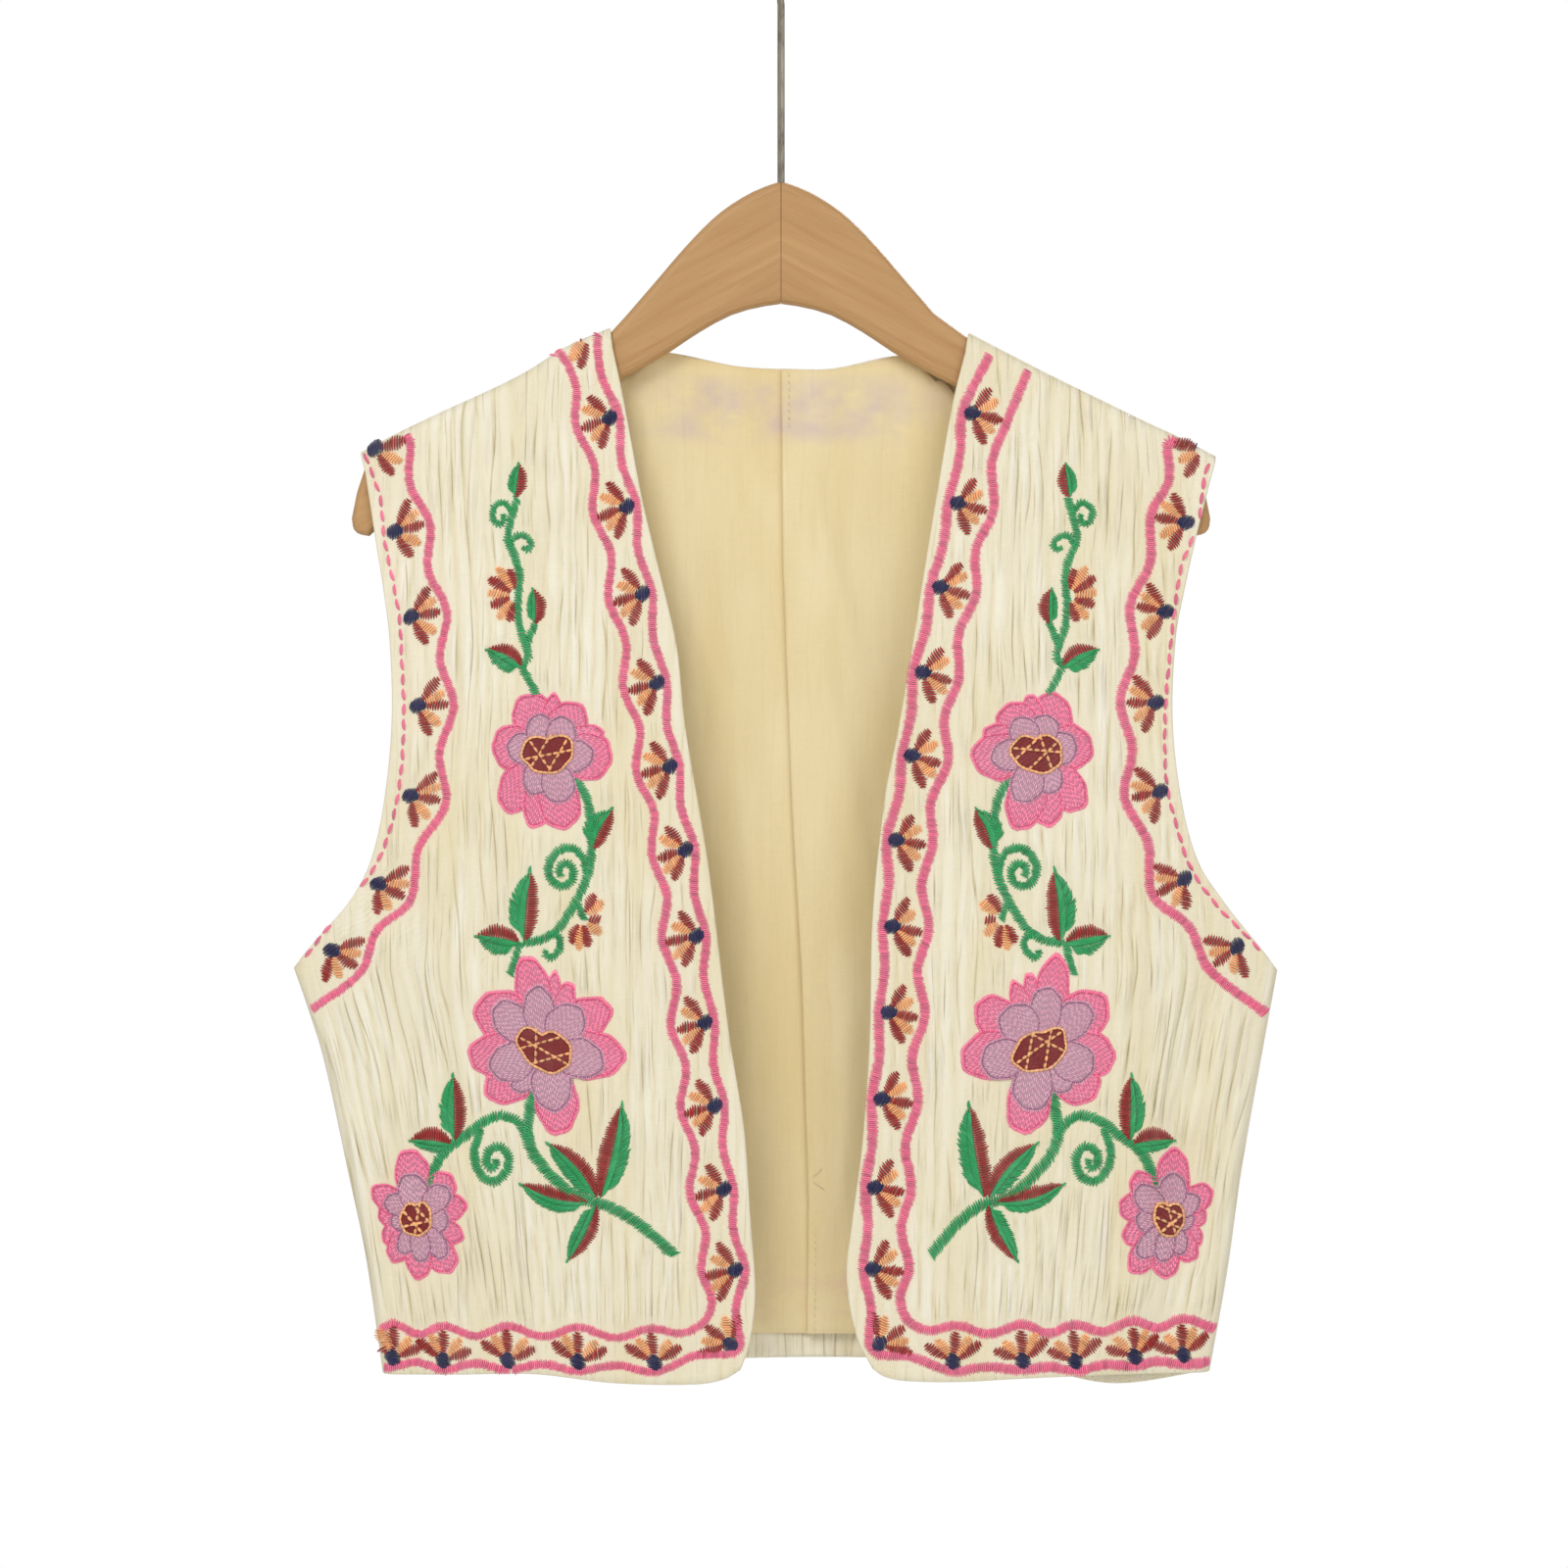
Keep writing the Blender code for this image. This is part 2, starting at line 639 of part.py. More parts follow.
def pleat_path():
    """The folded part of the right lining: offset in x, offset in y and which way is out."""
    r = PLEAT_LAYER / 2
    far = PLEAT_DEPTH - r
    top = -2 * PLEAT_LAYER
    path = [(far + 2 * r, top, 0.0, -1.0), (far / 2, top, 0.0, -1.0)]
    turns = [math.pi * k / PLEAT_TURN_STEPS for k in range(PLEAT_TURN_STEPS + 1)]
    for a in turns:
        sine, cosine = math.sin(a), math.cos(a)
        path.append((r - r * sine, top + r - r * cosine, -sine, -cosine))
    path.append((far / 2, -PLEAT_LAYER, 0.0, 1.0))
    for a in turns:
        sine, cosine = math.sin(a), math.cos(a)
        path.append((far + r * sine, -r - r * cosine, -sine, cosine))
    path.append((far / 2, 0.0, 0.0, -1.0))
    path.append((PLEAT_SEAM, 0.0, 0.0, -1.0))
    return np.array(path)


def lining_rows(x):
    """z of every row of the lining, for columns at these x."""
    share = np.linspace(0.0, 1.0, LINING_ROWS + 1)[:, None]
    return LINING_FOOT + (lining_height(x)[None, :] - LINING_FOOT) * share


def lining_wall(name, x, y, z, nx, ny, look, collection):
    """A lining piece from the middle of its wall and its outward directions."""
    half = LINING_WALL / 2
    outer = np.stack([x + nx * half, y + ny * half, z], axis=-1)
    normal = np.stack([nx, ny, np.zeros_like(nx)], axis=-1)
    kept = np.ones((x.shape[0] - 1, x.shape[1] - 1), bool)
    return wall(name, outer, normal, LINING_WALL, kept, look, collection)


def make_lining_left(look, collection):
    """The left half of the lining, up to the seam that the pleat hides."""
    share = np.linspace(0.0, 1.0, LINING_COLUMNS + 1)
    guess = -LINING_REACH + LINING_REACH * share
    z = lining_rows(guess)
    end = pleat_edge(z) + PLEAT_SEAM - SEAM_GAP
    x = -LINING_REACH + (end + LINING_REACH) * share[None, :]
    y = lining_depth(x, z)
    return lining_wall("lining_left", x, y, z, np.zeros_like(x), -np.ones_like(x), look, collection)


def make_lining_right(look, collection):
    """The right half of the lining, with the ease pleat along its seam."""
    path = pleat_path()
    share = np.linspace(1.0, 0.0, LINING_COLUMNS + 1)[:-1]
    start = PLEAT_DEPTH + PLEAT_LAYER
    guess = np.concatenate([start + (LINING_REACH - start) * share, path[:, 0]])
    z = lining_rows(guess)
    edge = pleat_edge(z)
    count = len(share)
    x = np.empty_like(z)
    x[:, :count] = edge[:, :count] + start + (LINING_REACH - start - edge[:, :count]) * share
    x[:, count:] = edge[:, count:] + path[:, 0]
    y = lining_depth(x, z)
    past = (x[:, :count] - edge[:, :count] - start) / PLEAT_EASE
    y[:, :count] -= 2 * PLEAT_LAYER * (1.0 - ease(past))
    y[:, count:] = lining_depth(edge[:, count:] + PLEAT_DEPTH / 2, z[:, count:]) + path[:, 1]
    nx = np.zeros_like(x)
    ny = -np.ones_like(x)
    nx[:, count:] = path[:, 2]
    ny[:, count:] = path[:, 3]
    return lining_wall("lining_right", x, y, z, nx, ny, look, collection)


def make_turn_up(look, collection):
    """The back's hem allowance, turned up inside, behind the lining's foot."""
    hem = np.array(BACK_HEM)
    start, end = BACK_HEM[0][0] + TURN_UP_END, BACK_HEM[-1][0] - TURN_UP_END
    x = np.linspace(start, end, TURN_UP_STEPS + 1)
    low = np.interp(x, hem[:, 0], hem[:, 1]) + SEAM_GAP
    high = np.full_like(x, LINING_FOOT + TURN_UP_LAP)
    share = np.linspace(0.0, 1.0, TURN_UP_ROWS + 1)[:, None]
    z = low[None, :] + (high - low)[None, :] * share
    x = np.broadcast_to(x, z.shape).copy()
    face = depth(BACK_SADDLE, BACK_BULGE, BACK_FOLDS, x, z)
    y = face - OUTER_WALL - SEAM_GAP - TURN_UP_WALL
    outer = np.stack([x, y, z], axis=-1)
    normal = np.broadcast_to(np.array([0.0, -1.0, 0.0]), outer.shape)
    kept = np.ones((x.shape[0] - 1, x.shape[1] - 1), bool)
    return wall("back_hem_turn_up", outer, normal, TURN_UP_WALL, kept, look, collection)


def box(name, low, high, collection):
    """A plain box between two corners, used as a cutter."""
    mesh = bmesh.new()
    bmesh.ops.create_cube(mesh, size=1.0)
    for vert in mesh.verts:
        for k in range(3):
            vert.co[k] = (low[k] + (high[k] - low[k]) * (vert.co[k] + 0.5)) * MM
    return as_cutter(name, mesh, collection)


def as_cutter(name, mesh, collection):
    """A cutter: kept in its own collection, drawn as wire and left out of renders."""
    data = bpy.data.meshes.new(name)
    mesh.to_mesh(data)
    mesh.free()
    made = bpy.data.objects.new(name, data)
    collection.objects.link(made)
    made.hide_render = True
    made.display_type = "WIRE"
    return made


def shank_drill(collection):
    """The hole that the hook's shank stands in."""
    mesh = bmesh.new()
    top, low = ARM_TOP[2][1], ARM_TOP[2][1] - SHANK_DEPTH - SHANK_CLEARANCE
    radius = (WIRE_RADIUS + SHANK_CLEARANCE) * MM
    length = top + DRILL_PROUD - low
    bmesh.ops.create_cone(
        mesh,
        cap_ends=True,
        segments=DRILL_SIDES,
        radius1=radius,
        radius2=radius,
        depth=length * MM,
    )
    bmesh.ops.translate(mesh, verts=mesh.verts, vec=(0.0, 0.0, (low + length / 2) * MM))
    return as_cutter("shank_drill", mesh, collection)


def arm_outline(side, shoulder):
    """The outline of one wooden arm; side is -1 for the left arm and 1 for the right."""
    wood = smooth(lowered(shoulder[::-1], BOARD_BELOW_CLOTH))
    under_cloth = wood(np.linspace(0.0, UNDER_CLOTH_END, UNDER_CLOTH_POINTS))
    top = smooth(ARM_TOP)(np.linspace(0.0, 1.0, ARM_TOP_STEPS))[:-1]
    under = smooth([*ARM_TIP[TIP_OUTER_POINTS:], *ARM_UNDER])(np.linspace(0.0, 1.0, ARM_UNDER_STEPS))
    points = [(-side * x, z) for x, z in top]
    points += [(x, z) for x, z in under_cloth]
    points += [(-side * x, z) for x, z in ARM_TIP[:TIP_OUTER_POINTS]]
    points += [(-side * x, z) for x, z in under]
    return points


def make_arm(name, side, shoulder, cutters, look, collection):
    """One wooden arm: a board cut to its outline, with rounded edges, sawn at the middle."""
    mesh = bmesh.new()
    front = -BOARD / 2 * MM
    ring = [mesh.verts.new((x * MM, front, z * MM)) for x, z in arm_outline(side, shoulder)]
    face = mesh.faces.new(ring)
    grown = bmesh.ops.extrude_face_region(mesh, geom=[face])
    moved = [part for part in grown["geom"] if isinstance(part, bmesh.types.BMVert)]
    bmesh.ops.translate(mesh, verts=moved, vec=(0.0, BOARD * MM, 0.0))
    bmesh.ops.recalc_face_normals(mesh, faces=mesh.faces[:])
    made = finished(name, mesh, look, collection)
    edge = made.modifiers.new("rounded_edges", "BEVEL")
    edge.width = BOARD_EDGE_RADIUS * MM
    edge.segments = BOARD_EDGE_STEPS
    edge.limit_method = "ANGLE"
    edge.angle_limit = math.radians(BOARD_EDGE_ANGLE)
    for cutter in cutters:
        cut = made.modifiers.new(cutter.name, "BOOLEAN")
        cut.operation = "DIFFERENCE"
        cut.object = cutter
    return made


def hook_points():
    """The middle of the hook's wire, from the shank's foot to the free end."""
    bow = HOOK_INNER_RADIUS + WIRE_RADIUS
    foot = ARM_TOP[2][1] - SHANK_DEPTH
    points = [(0.0, foot), (0.0, (foot + SHANK_TOP) / 2)]
    a = math.radians(HOOK_START)
    start = np.array([0.0, SHANK_TOP])
    end = np.array([bow * math.cos(a), -HOOK_INNER_RADIUS + bow * math.sin(a)])
    reach = np.linalg.norm(end - start)
    leave = np.array([0.0, reach])
    arrive = np.array([math.sin(a), -math.cos(a)]) * reach
    for k in np.linspace(0.0, 1.0, HOOK_BEND_STEPS, endpoint=False):
        held = (2 * k**3 - 3 * k**2 + 1) * start + (k**3 - 2 * k**2 + k) * leave
        points.append(tuple(held + (3 * k**2 - 2 * k**3) * end + (k**3 - k**2) * arrive))
    for k in range(HOOK_BOW_STEPS + 1):
        a = math.radians(HOOK_START + (HOOK_END - HOOK_START) * k / HOOK_BOW_STEPS)
        points.append((bow * math.cos(a), -HOOK_INNER_RADIUS + bow * math.sin(a)))
    return points


def make_hook(look, collection):
    """The steel wire hook, a bevelled curve made into a mesh."""
    points = hook_points()
    curve = bpy.data.curves.new("hook", "CURVE")
    curve.dimensions = "3D"
    curve.bevel_depth = WIRE_RADIUS * MM
    curve.bevel_resolution = 2
    curve.use_fill_caps = True
    line = curve.splines.new("POLY")
    line.points.add(len(points) - 1)
    for point, (x, z) in zip(line.points, points):
        point.co = (x * MM, 0.0, z * MM, 1.0)
    curve.materials.append(look)
    made = bpy.data.objects.new("hook", curve)
    collection.objects.link(made)
    return made


def main():
    for old in list(bpy.data.objects):
        bpy.data.objects.remove(old, do_unlink=True)
    part = bpy.data.collections.new("embroidered_waistcoat")
    tools = bpy.data.collections.new("cutters")
    bpy.context.scene.collection.children.link(part)
    bpy.context.scene.collection.children.link(tools)
    look = {name: material(name) for name in LOOKS}

    left = front_surface(
        SIDE_LEFT, ARMHOLE_LEFT, SHOULDER_LEFT, FRONT_EDGE_LEFT, HEM_LEFT, FRONT_FOLDS_LEFT
    )
    right = front_surface(
        SIDE_RIGHT, ARMHOLE_RIGHT, SHOULDER_RIGHT, FRONT_EDGE_RIGHT, HEM_RIGHT, FRONT_FOLDS_RIGHT
    )
    make_front("front_left", left, 0.0, look["gauze"], part)
    make_front("front_right", right, RIGHT_SEAM_TURN, look["gauze"], part)
    make_back(look["gauze"], part)
    make_lining_left(look["lining_cotton"], part)
    make_lining_right(look["lining_cotton"], part)
    make_turn_up(look["gauze"], part)

    drill = shank_drill(tools)
    joint = SEAM_GAP / 2
    far, high = CUTTER_REACH, CUTTER_HEIGHT
    saws = {
        -1: box("saw_left", (-joint, -far, -high), (far, far, high), tools),
        1: box("saw_right", (-far, -far, -high), (joint, far, high), tools),
    }
    make_arm("hanger_arm_left", -1, SHOULDER_LEFT, [saws[-1], drill], look["pale_wood"], part)
    make_arm("hanger_arm_right", 1, SHOULDER_RIGHT, [saws[1], drill], look["pale_wood"], part)
    make_hook(look["steel_wire"], part)


main()
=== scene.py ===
import math

import bpy
import numpy as np
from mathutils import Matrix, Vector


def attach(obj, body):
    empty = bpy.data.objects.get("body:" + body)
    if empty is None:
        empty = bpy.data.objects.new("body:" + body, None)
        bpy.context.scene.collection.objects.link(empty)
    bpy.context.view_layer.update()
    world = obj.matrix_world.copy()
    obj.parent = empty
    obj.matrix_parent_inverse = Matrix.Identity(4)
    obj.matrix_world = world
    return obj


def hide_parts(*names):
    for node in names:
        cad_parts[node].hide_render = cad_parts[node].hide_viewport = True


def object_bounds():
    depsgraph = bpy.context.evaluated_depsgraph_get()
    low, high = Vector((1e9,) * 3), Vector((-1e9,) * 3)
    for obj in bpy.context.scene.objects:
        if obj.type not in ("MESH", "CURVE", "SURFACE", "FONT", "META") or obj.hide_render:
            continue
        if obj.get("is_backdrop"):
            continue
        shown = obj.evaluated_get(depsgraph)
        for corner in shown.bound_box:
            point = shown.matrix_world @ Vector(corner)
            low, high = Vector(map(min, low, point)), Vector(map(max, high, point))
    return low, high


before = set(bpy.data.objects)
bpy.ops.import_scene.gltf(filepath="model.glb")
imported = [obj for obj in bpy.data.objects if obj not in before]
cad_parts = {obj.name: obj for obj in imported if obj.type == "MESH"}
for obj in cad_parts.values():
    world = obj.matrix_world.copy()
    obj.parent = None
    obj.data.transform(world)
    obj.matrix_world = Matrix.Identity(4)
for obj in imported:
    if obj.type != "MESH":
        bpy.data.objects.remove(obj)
cad_low, cad_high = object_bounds()
MM = 0.001
print("nodes:", ", ".join(sorted(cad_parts)))

# %% [markdown]
# The photograph is taken straight from the front with a long lens, so the camera
# stands four metres away and level with the middle of the picture. Its lens is
# worked out from the width of the view, which keeps the two numbers readable.
# %% Camera
CAMERA_AWAY = 4.0
CAMERA_AIM = (1.37 * MM, -419.1 * MM)
VIEW_WIDTH = 729.6 * MM
VIEW_PLANE = -0.016


def placed(name, data):
    """A new object in the scene."""
    made = bpy.data.objects.new(name, data)
    bpy.context.scene.collection.objects.link(made)
    return made


camera_data = bpy.data.cameras.new("camera")
camera_data.lens = camera_data.sensor_width * (CAMERA_AWAY + VIEW_PLANE) / VIEW_WIDTH
camera_data.clip_end = 60.0
camera = placed("camera", camera_data)
camera.location = (CAMERA_AIM[0], -CAMERA_AWAY, CAMERA_AIM[1])
camera.rotation_euler = (math.pi / 2, 0.0, 0.0)
bpy.context.scene.camera = camera
print("lens:", round(camera_data.lens, 1), "mm")

# %% [markdown]
# A wire wraps one socket of a node tree. Arithmetic on it adds Math nodes, so that
# the finish of a material reads like a formula. Its method make adds any other
# node, with the settings first and the values or links of its sockets after them.
# The same class builds Geometry Nodes trees.
# %% Wires
class Wire:
    """An output socket of a node tree."""

    def __init__(self, tree, socket=None):
        self.tree = tree
        self.socket = socket

    def make(self, kind, settings=None, inputs=None, output=None):
        node = self.tree.nodes.new(kind)
        for name, value in (settings or {}).items():
            setattr(node, name, value)
        for name, value in (inputs or {}).items():
            if isinstance(name, int):
                socket = node.inputs[name]
            else:
                socket = next(s for s in node.inputs if s.name == name and s.enabled)
            if isinstance(value, Wire):
                self.tree.links.new(value.socket, socket)
            else:
                socket.default_value = value
        if output is None:
            found = next((s for s in node.outputs if s.enabled), None)
        else:
            found = node.outputs[output]
        return Wire(self.tree, found)

    def math(self, operation, *values):
        return self.make("ShaderNodeMath", {"operation": operation}, dict(enumerate(values)))

    def __add__(self, other):
        return self.math("ADD", self, other)

    def __sub__(self, other):
        return self.math("SUBTRACT", self, other)

    def __mul__(self, other):
        return self.math("MULTIPLY", self, other)

    def __truediv__(self, other):
        return self.math("DIVIDE", self, other)

    def __radd__(self, other):
        return self.math("ADD", other, self)

    def __rsub__(self, other):
        return self.math("SUBTRACT", other, self)

    def __rmul__(self, other):
        return self.math("MULTIPLY", other, self)

    def __abs__(self):
        return self.math("ABSOLUTE", self)

    def limited(self):
        return self.make("ShaderNodeClamp", None, {"Value": self})

    def mixed(self, first, second):
        """From the first colour at 0 to the second at 1."""
        return self.make(
            "ShaderNodeMix", {"data_type": "RGBA"}, {0: self, 6: first, 7: second}, output=2
        )


def srgb(red, green, blue):
    """A colour as it is read off a screen, 0 to 255, as linear light."""
    return tuple(((c / 255 + 0.055) / 1.055) ** 2.4 for c in (red, green, blue)) + (1.0,)


def new_finish(name, roughness, sheen=0.0, coat=0.0, metallic=0.0, specular=0.5):
    """A material, the start of its tree, its shader's inputs."""
    made = bpy.data.materials.new(name)
    made.use_nodes = True
    shader = made.node_tree.nodes["Principled BSDF"]
    shader.inputs["Roughness"].default_value = roughness
    shader.inputs["Sheen Weight"].default_value = sheen
    shader.inputs["Coat Weight"].default_value = coat
    shader.inputs["Metallic"].default_value = metallic
    shader.inputs["Specular IOR Level"].default_value = specular
    return made, Wire(made.node_tree), shader.inputs


def join(wire, socket):
    wire.tree.links.new(wire.socket, socket)


def object_place(start):
    """Where a point of the surface lies, in metres."""
    return start.make("ShaderNodeTexCoord", output="Object")


def attribute(start, name):
    """A number that the mesh carries at each of its points."""
    return start.make("ShaderNodeAttribute", {"attribute_name": name}, output="Fac")


def vector(start, x=0.0, y=0.0, z=0.0):
    return start.make("ShaderNodeCombineXYZ", None, {"X": x, "Y": y, "Z": z})


def parts_of(wire):
    """The x, y and z of a vector."""
    node = wire.make("ShaderNodeSeparateXYZ", None, {"Vector": wire}).socket.node
    return [Wire(wire.tree, socket) for socket in node.outputs]


def noise(start, place, detail, roughness=0.5, distortion=0.0):
    sizes = {"Scale": 1.0, "Detail": detail, "Roughness": roughness, "Distortion": distortion}
    return start.make("ShaderNodeTexNoise", None, {"Vector": place, **sizes})


def stretched_noise(start, place, scale, detail=3.0, roughness=0.55):
    """Noise on object coordinates, stretched by a scale for each axis, in 1/m."""
    waves = start.make("ShaderNodeVectorMath", {"operation": "MULTIPLY"}, {0: place, 1: scale})
    return noise(start, waves, detail, roughness)


def scaled(colour, factor):
    """A colour made lighter or darker."""
    return colour.make("ShaderNodeVectorMath", {"operation": "SCALE"}, {0: colour, "Scale": factor})


def bumped(shader, height, strength, distance):
    """Lets a height from 0 to 1 stand out by a distance in metres."""
    relief = {"Strength": strength, "Distance": distance, "Height": height}
    join(height.make("ShaderNodeBump", None, relief), shader["Normal"])


print("a mid grey of 128 is", round(srgb(128, 128, 128)[0], 3), "in linear light")

# %% [markdown]
# The waistcoat's outlines are the same tables that its solids come from: x and z
# in millimetres, seen from the front, each from the hem up or from the side in.
# Those that the photograph shows were measured in it, and the others are guesses.
# They are written again here because this lesson reads nothing but the model.
# %% Outlines
SIDE_LEFT = [
    (-186, -694), (-194.3, -638), (-202, -601.5), (-213.9, -546.7), (-222.5, -519.4),
    (-227.6, -505),
]
ARMHOLE_LEFT = [
    (-227.6, -505), (-216.6, -492), (-200.6, -473.8), (-191, -455.5), (-184.7, -428.2),
    (-181, -390), (-182, -352), (-185.1, -327), (-188.6, -305), (-193.3, -274),
]
SHOULDER_LEFT = [
    (-196.1, -264), (-178, -254.6), (-157.8, -244.9), (-137.3, -235.6), (-119, -226.4),
    (-100, -214.6), (-80.3, -206.1),
]
FRONT_EDGE_LEFT = [
    (-19.2, -691), (-15, -679), (-12.4, -655), (-14.6, -622), (-17.5, -580), (-24.6, -534.9),
    (-34.5, -455), (-45, -392.2), (-49, -355), (-57.5, -318.3), (-65.2, -285.9), (-74.6, -236),
    (-78.9, -216),
]
HEM_LEFT = [
    (-186, -694), (-150.5, -693.6), (-114, -693), (-77, -697), (-39.7, -697.6), (-26.5, -695.2),
    (-19.2, -691),
]
SIDE_RIGHT = [
    (200.2, -693), (208.4, -647), (214.8, -601.5), (224.4, -546.7), (229.4, -519.4), (231.8, -506),
]
ARMHOLE_RIGHT = [
    (231.8, -506), (220.2, -492), (205.7, -473.8), (194, -455.5), (186.4, -428.2), (182, -390),
    (183.6, -350), (187.9, -327), (192.8, -305), (200, -276),
]
SHOULDER_RIGHT = [
    (203, -266), (187, -257.6), (166.9, -248.2), (149, -239.4), (131.8, -231), (112, -221),
    (88, -208.4),
]
FRONT_EDGE_RIGHT = [
    (42.9, -690.4), (35.6, -676), (30.8, -648), (33.5, -622), (38.3, -585), (41.6, -536.7),
    (43, -480), (48.8, -424.5), (54.3, -397), (61.2, -357), (67, -320.6), (73, -284.1),
    (80.6, -241), (86.2, -218.4),
]
HEM_RIGHT = [
    (200.2, -693), (156.4, -693.6), (115.4, -694.8), (80, -696.5), (56, -695.8), (47.8, -693.8),
    (42.9, -690.4),
]
NECKLINE = [
    (-78.9, -216), (-52.4, -217.5), (-20, -223.7), (5, -225), (24, -224.8), (53.8, -219),
    (86.2, -218.4),
]
BACK_HEM = [
    (-186, -694), (-110, -691), (0, -687.6), (50, -688), (115, -692), (156, -699.5), (200.2, -693),
]
# Soft folds: x and z of the upper end, x and z of the lower end, half width, height
FRONT_FOLDS_LEFT = [
    (-217, -500, -176, -590, 7, 2.2), (-203, -488, -160, -565, 7, -1.8),
    (-206, -555, -184, -720, 8, 2), (-188, -560, -166, -720, 8, -1.8),
    (-150, -420, -140, -720, 12, 1.4), (-96, -300, -104, -720, 14, -1.5),
    (-60, -400, -44, -720, 11, 1.6), (-110, -215, -90, -300, 9, 1.2),
]
FRONT_FOLDS_RIGHT = [
    (220, -500, 186, -600, 7, 2.2), (206, -490, 178, -640, 8, -2), (216, -560, 192, -720, 7, 2.2),
    (203, -560, 170, -720, 8, -1.8), (176, -520, 156, -720, 9, 1.8),
    (140, -400, 126, -720, 13, -1.4), (96, -300, 92, -720, 14, 1.4),
    (62, -430, 58, -720, 10, -1.4),
]
BACK_FOLDS = [
    (-206, -510, -174, -720, 10, 2), (-150, -400, -132, -720, 16, -1.4),
    (-70, -320, -76, -720, 17, 1.4), (24, -300, 30, -720, 17, -1.2), (90, -380, 96, -720, 16, 1.4),
    (160, -420, 150, -720, 16, -1.4), (212, -510, 186, -720, 10, 2),
]
LINING_FOLDS = [
    (4, -250, 40, -380, 7, 2.4), (8, -320, 48, -500, 8, 1.8), (-20, -260, -50, -400, 9, 1.8),
    (-8, -400, -22, -640, 8, 1.6), (36, -480, 26, -640, 7, 1.6),
]
# Ease pleat of the lining: x of its folded edge at each height, z
PLEAT_EDGE = [(0.5, -226), (1.4, -318), (5.5, -430), (10, -510), (13.2, -614), (12.6, -676.2)]
print("outline points:", sum(len(t) for t in (SIDE_LEFT, ARMHOLE_LEFT, FRONT_EDGE_LEFT, HEM_LEFT)))

# %% [markdown]
# These functions give the outer face of each panel: a smooth curve through the
# points of an outline, a patch between four such curves, and the depth of the cloth
# at any x and z. The depth has the round side folds, the bulge of the hanging body
# and the soft folds. The cloth over the hanger's edge is a squarish half round.
# %% Panel shapes
SIDE_FOLD_RADIUS, SIDE_FOLD_REACH = 5.0, 30.0
SADDLE_DROP, SADDLE_SQUARENESS = 10.0, 2.6
FRONT_SADDLE, BACK_SADDLE = 9.0, 10.6
FRONT_BULGE, BACK_BULGE = 13.0, 7.0
BODY_DROP, BULGE_REACH = 150.0, 90.0
SHOULDER_SLOPE, NECK_HALF = 0.5, 80.0
FOLD_RISE, FOLD_FALL = 0.35, 0.3
TIP_SHARE = 0.375
BACK_SHOULDER_SHARE = 0.27
RIGHT_SEAM_TURN = 30.0
SEAM_GAP = 0.3
NORMAL_STEP = 1e-4


def smooth(points):
    """A curve through the points, as a function of the share of its length."""
    p = np.array(points, float)
    d = np.concatenate([[0.0], np.cumsum(np.linalg.norm(np.diff(p, axis=0), axis=1))])
    d /= d[-1]
    slope = np.empty_like(p)
    slope[1:-1] = (p[2:] - p[:-2]) / (d[2:] - d[:-2])[:, None]
    slope[0] = (p[1] - p[0]) / (d[1] - d[0])
    slope[-1] = (p[-1] - p[-2]) / (d[-1] - d[-2])

    def at(share):
        t = np.clip(np.asarray(share, float), 0.0, 1.0)
        i = np.clip(np.searchsorted(d, t, side="right") - 1, 0, len(d) - 2)
        h = (d[i + 1] - d[i])[..., None]
        k = (t[..., None] - d[i][..., None]) / h
        start = (2 * k**3 - 3 * k**2 + 1) * p[i] + (k**3 - 2 * k**2 + k) * h * slope[i]
        end = (3 * k**2 - 2 * k**3) * p[i + 1] + (k**3 - k**2) * h * slope[i + 1]
        return start + end

    return at


def joined(curves):
    """Several curves as one; each has the share of the whole at which it ends."""

    def at(share):
        t = np.asarray(share, float)
        start, done = 0.0, None
        for curve, end in curves:
            here = curve((t - start) / (end - start))
            done = here if done is None else np.where((t >= start)[..., None], here, done)
            start = end
        return done

    return at


def patch(left, right, low, high):
    """The points between four edge curves, for shares across and up."""

    def at(u, v):
        a, b, c, d = left(v), right(v), low(u), high(u)
        u, v = u[..., None], v[..., None]
        corners = (1 - v) * ((1 - u) * low(0.0) + u * low(1.0))
        corners = corners + v * ((1 - u) * high(0.0) + u * high(1.0))
        return (1 - u) * a + u * b + (1 - v) * c + v * d - corners

    return at


def lowered(points, drop):
    return [(x, z - drop) for x, z in points]


def round_in(t):
    """A quarter circle's rise: 0 at the seam, 1 from t = 1 on."""
    return np.sqrt(np.clip(1.0 - (1.0 - np.clip(t, 0.0, 1.0)) ** 2, 0.0, 1.0))


def ease(t):
    """0 up to t = 0 and 1 from t = 1, level at both."""
    t = np.clip(t, 0.0, 1.0)
    return t * t * (3 - 2 * t)


def folds(table, x, z):
    """The height of all folds at these points; each fades out at its ends."""
    total = np.zeros(np.broadcast(x, z).shape)
    for x0, z0, x1, z1, half_width, height in table:
        length = math.hypot(x1 - x0, z1 - z0)
        ax, az = (x1 - x0) / length, (z1 - z0) / length
        run = (x - x0) * ax + (z - z0) * az
        off = (x - x0) * az - (z - z0) * ax
        fade = ease(run / (FOLD_RISE * length)) * ease((length - run) / (FOLD_FALL * length))
        total = total + height * fade * np.exp(-((off / half_width) ** 2))
    return total


def side_line(side):
    """|x| of a side seam against z."""
    line = smooth(side)(np.linspace(0.0, 1.0, 400))
    return line[:, 1], np.abs(line[:, 0])


LEFT_LINE, RIGHT_LINE = side_line(SIDE_LEFT), side_line(SIDE_RIGHT)


def side_reach(x, z):
    return np.where(x < 0, np.interp(z, *LEFT_LINE), np.interp(z, *RIGHT_LINE))


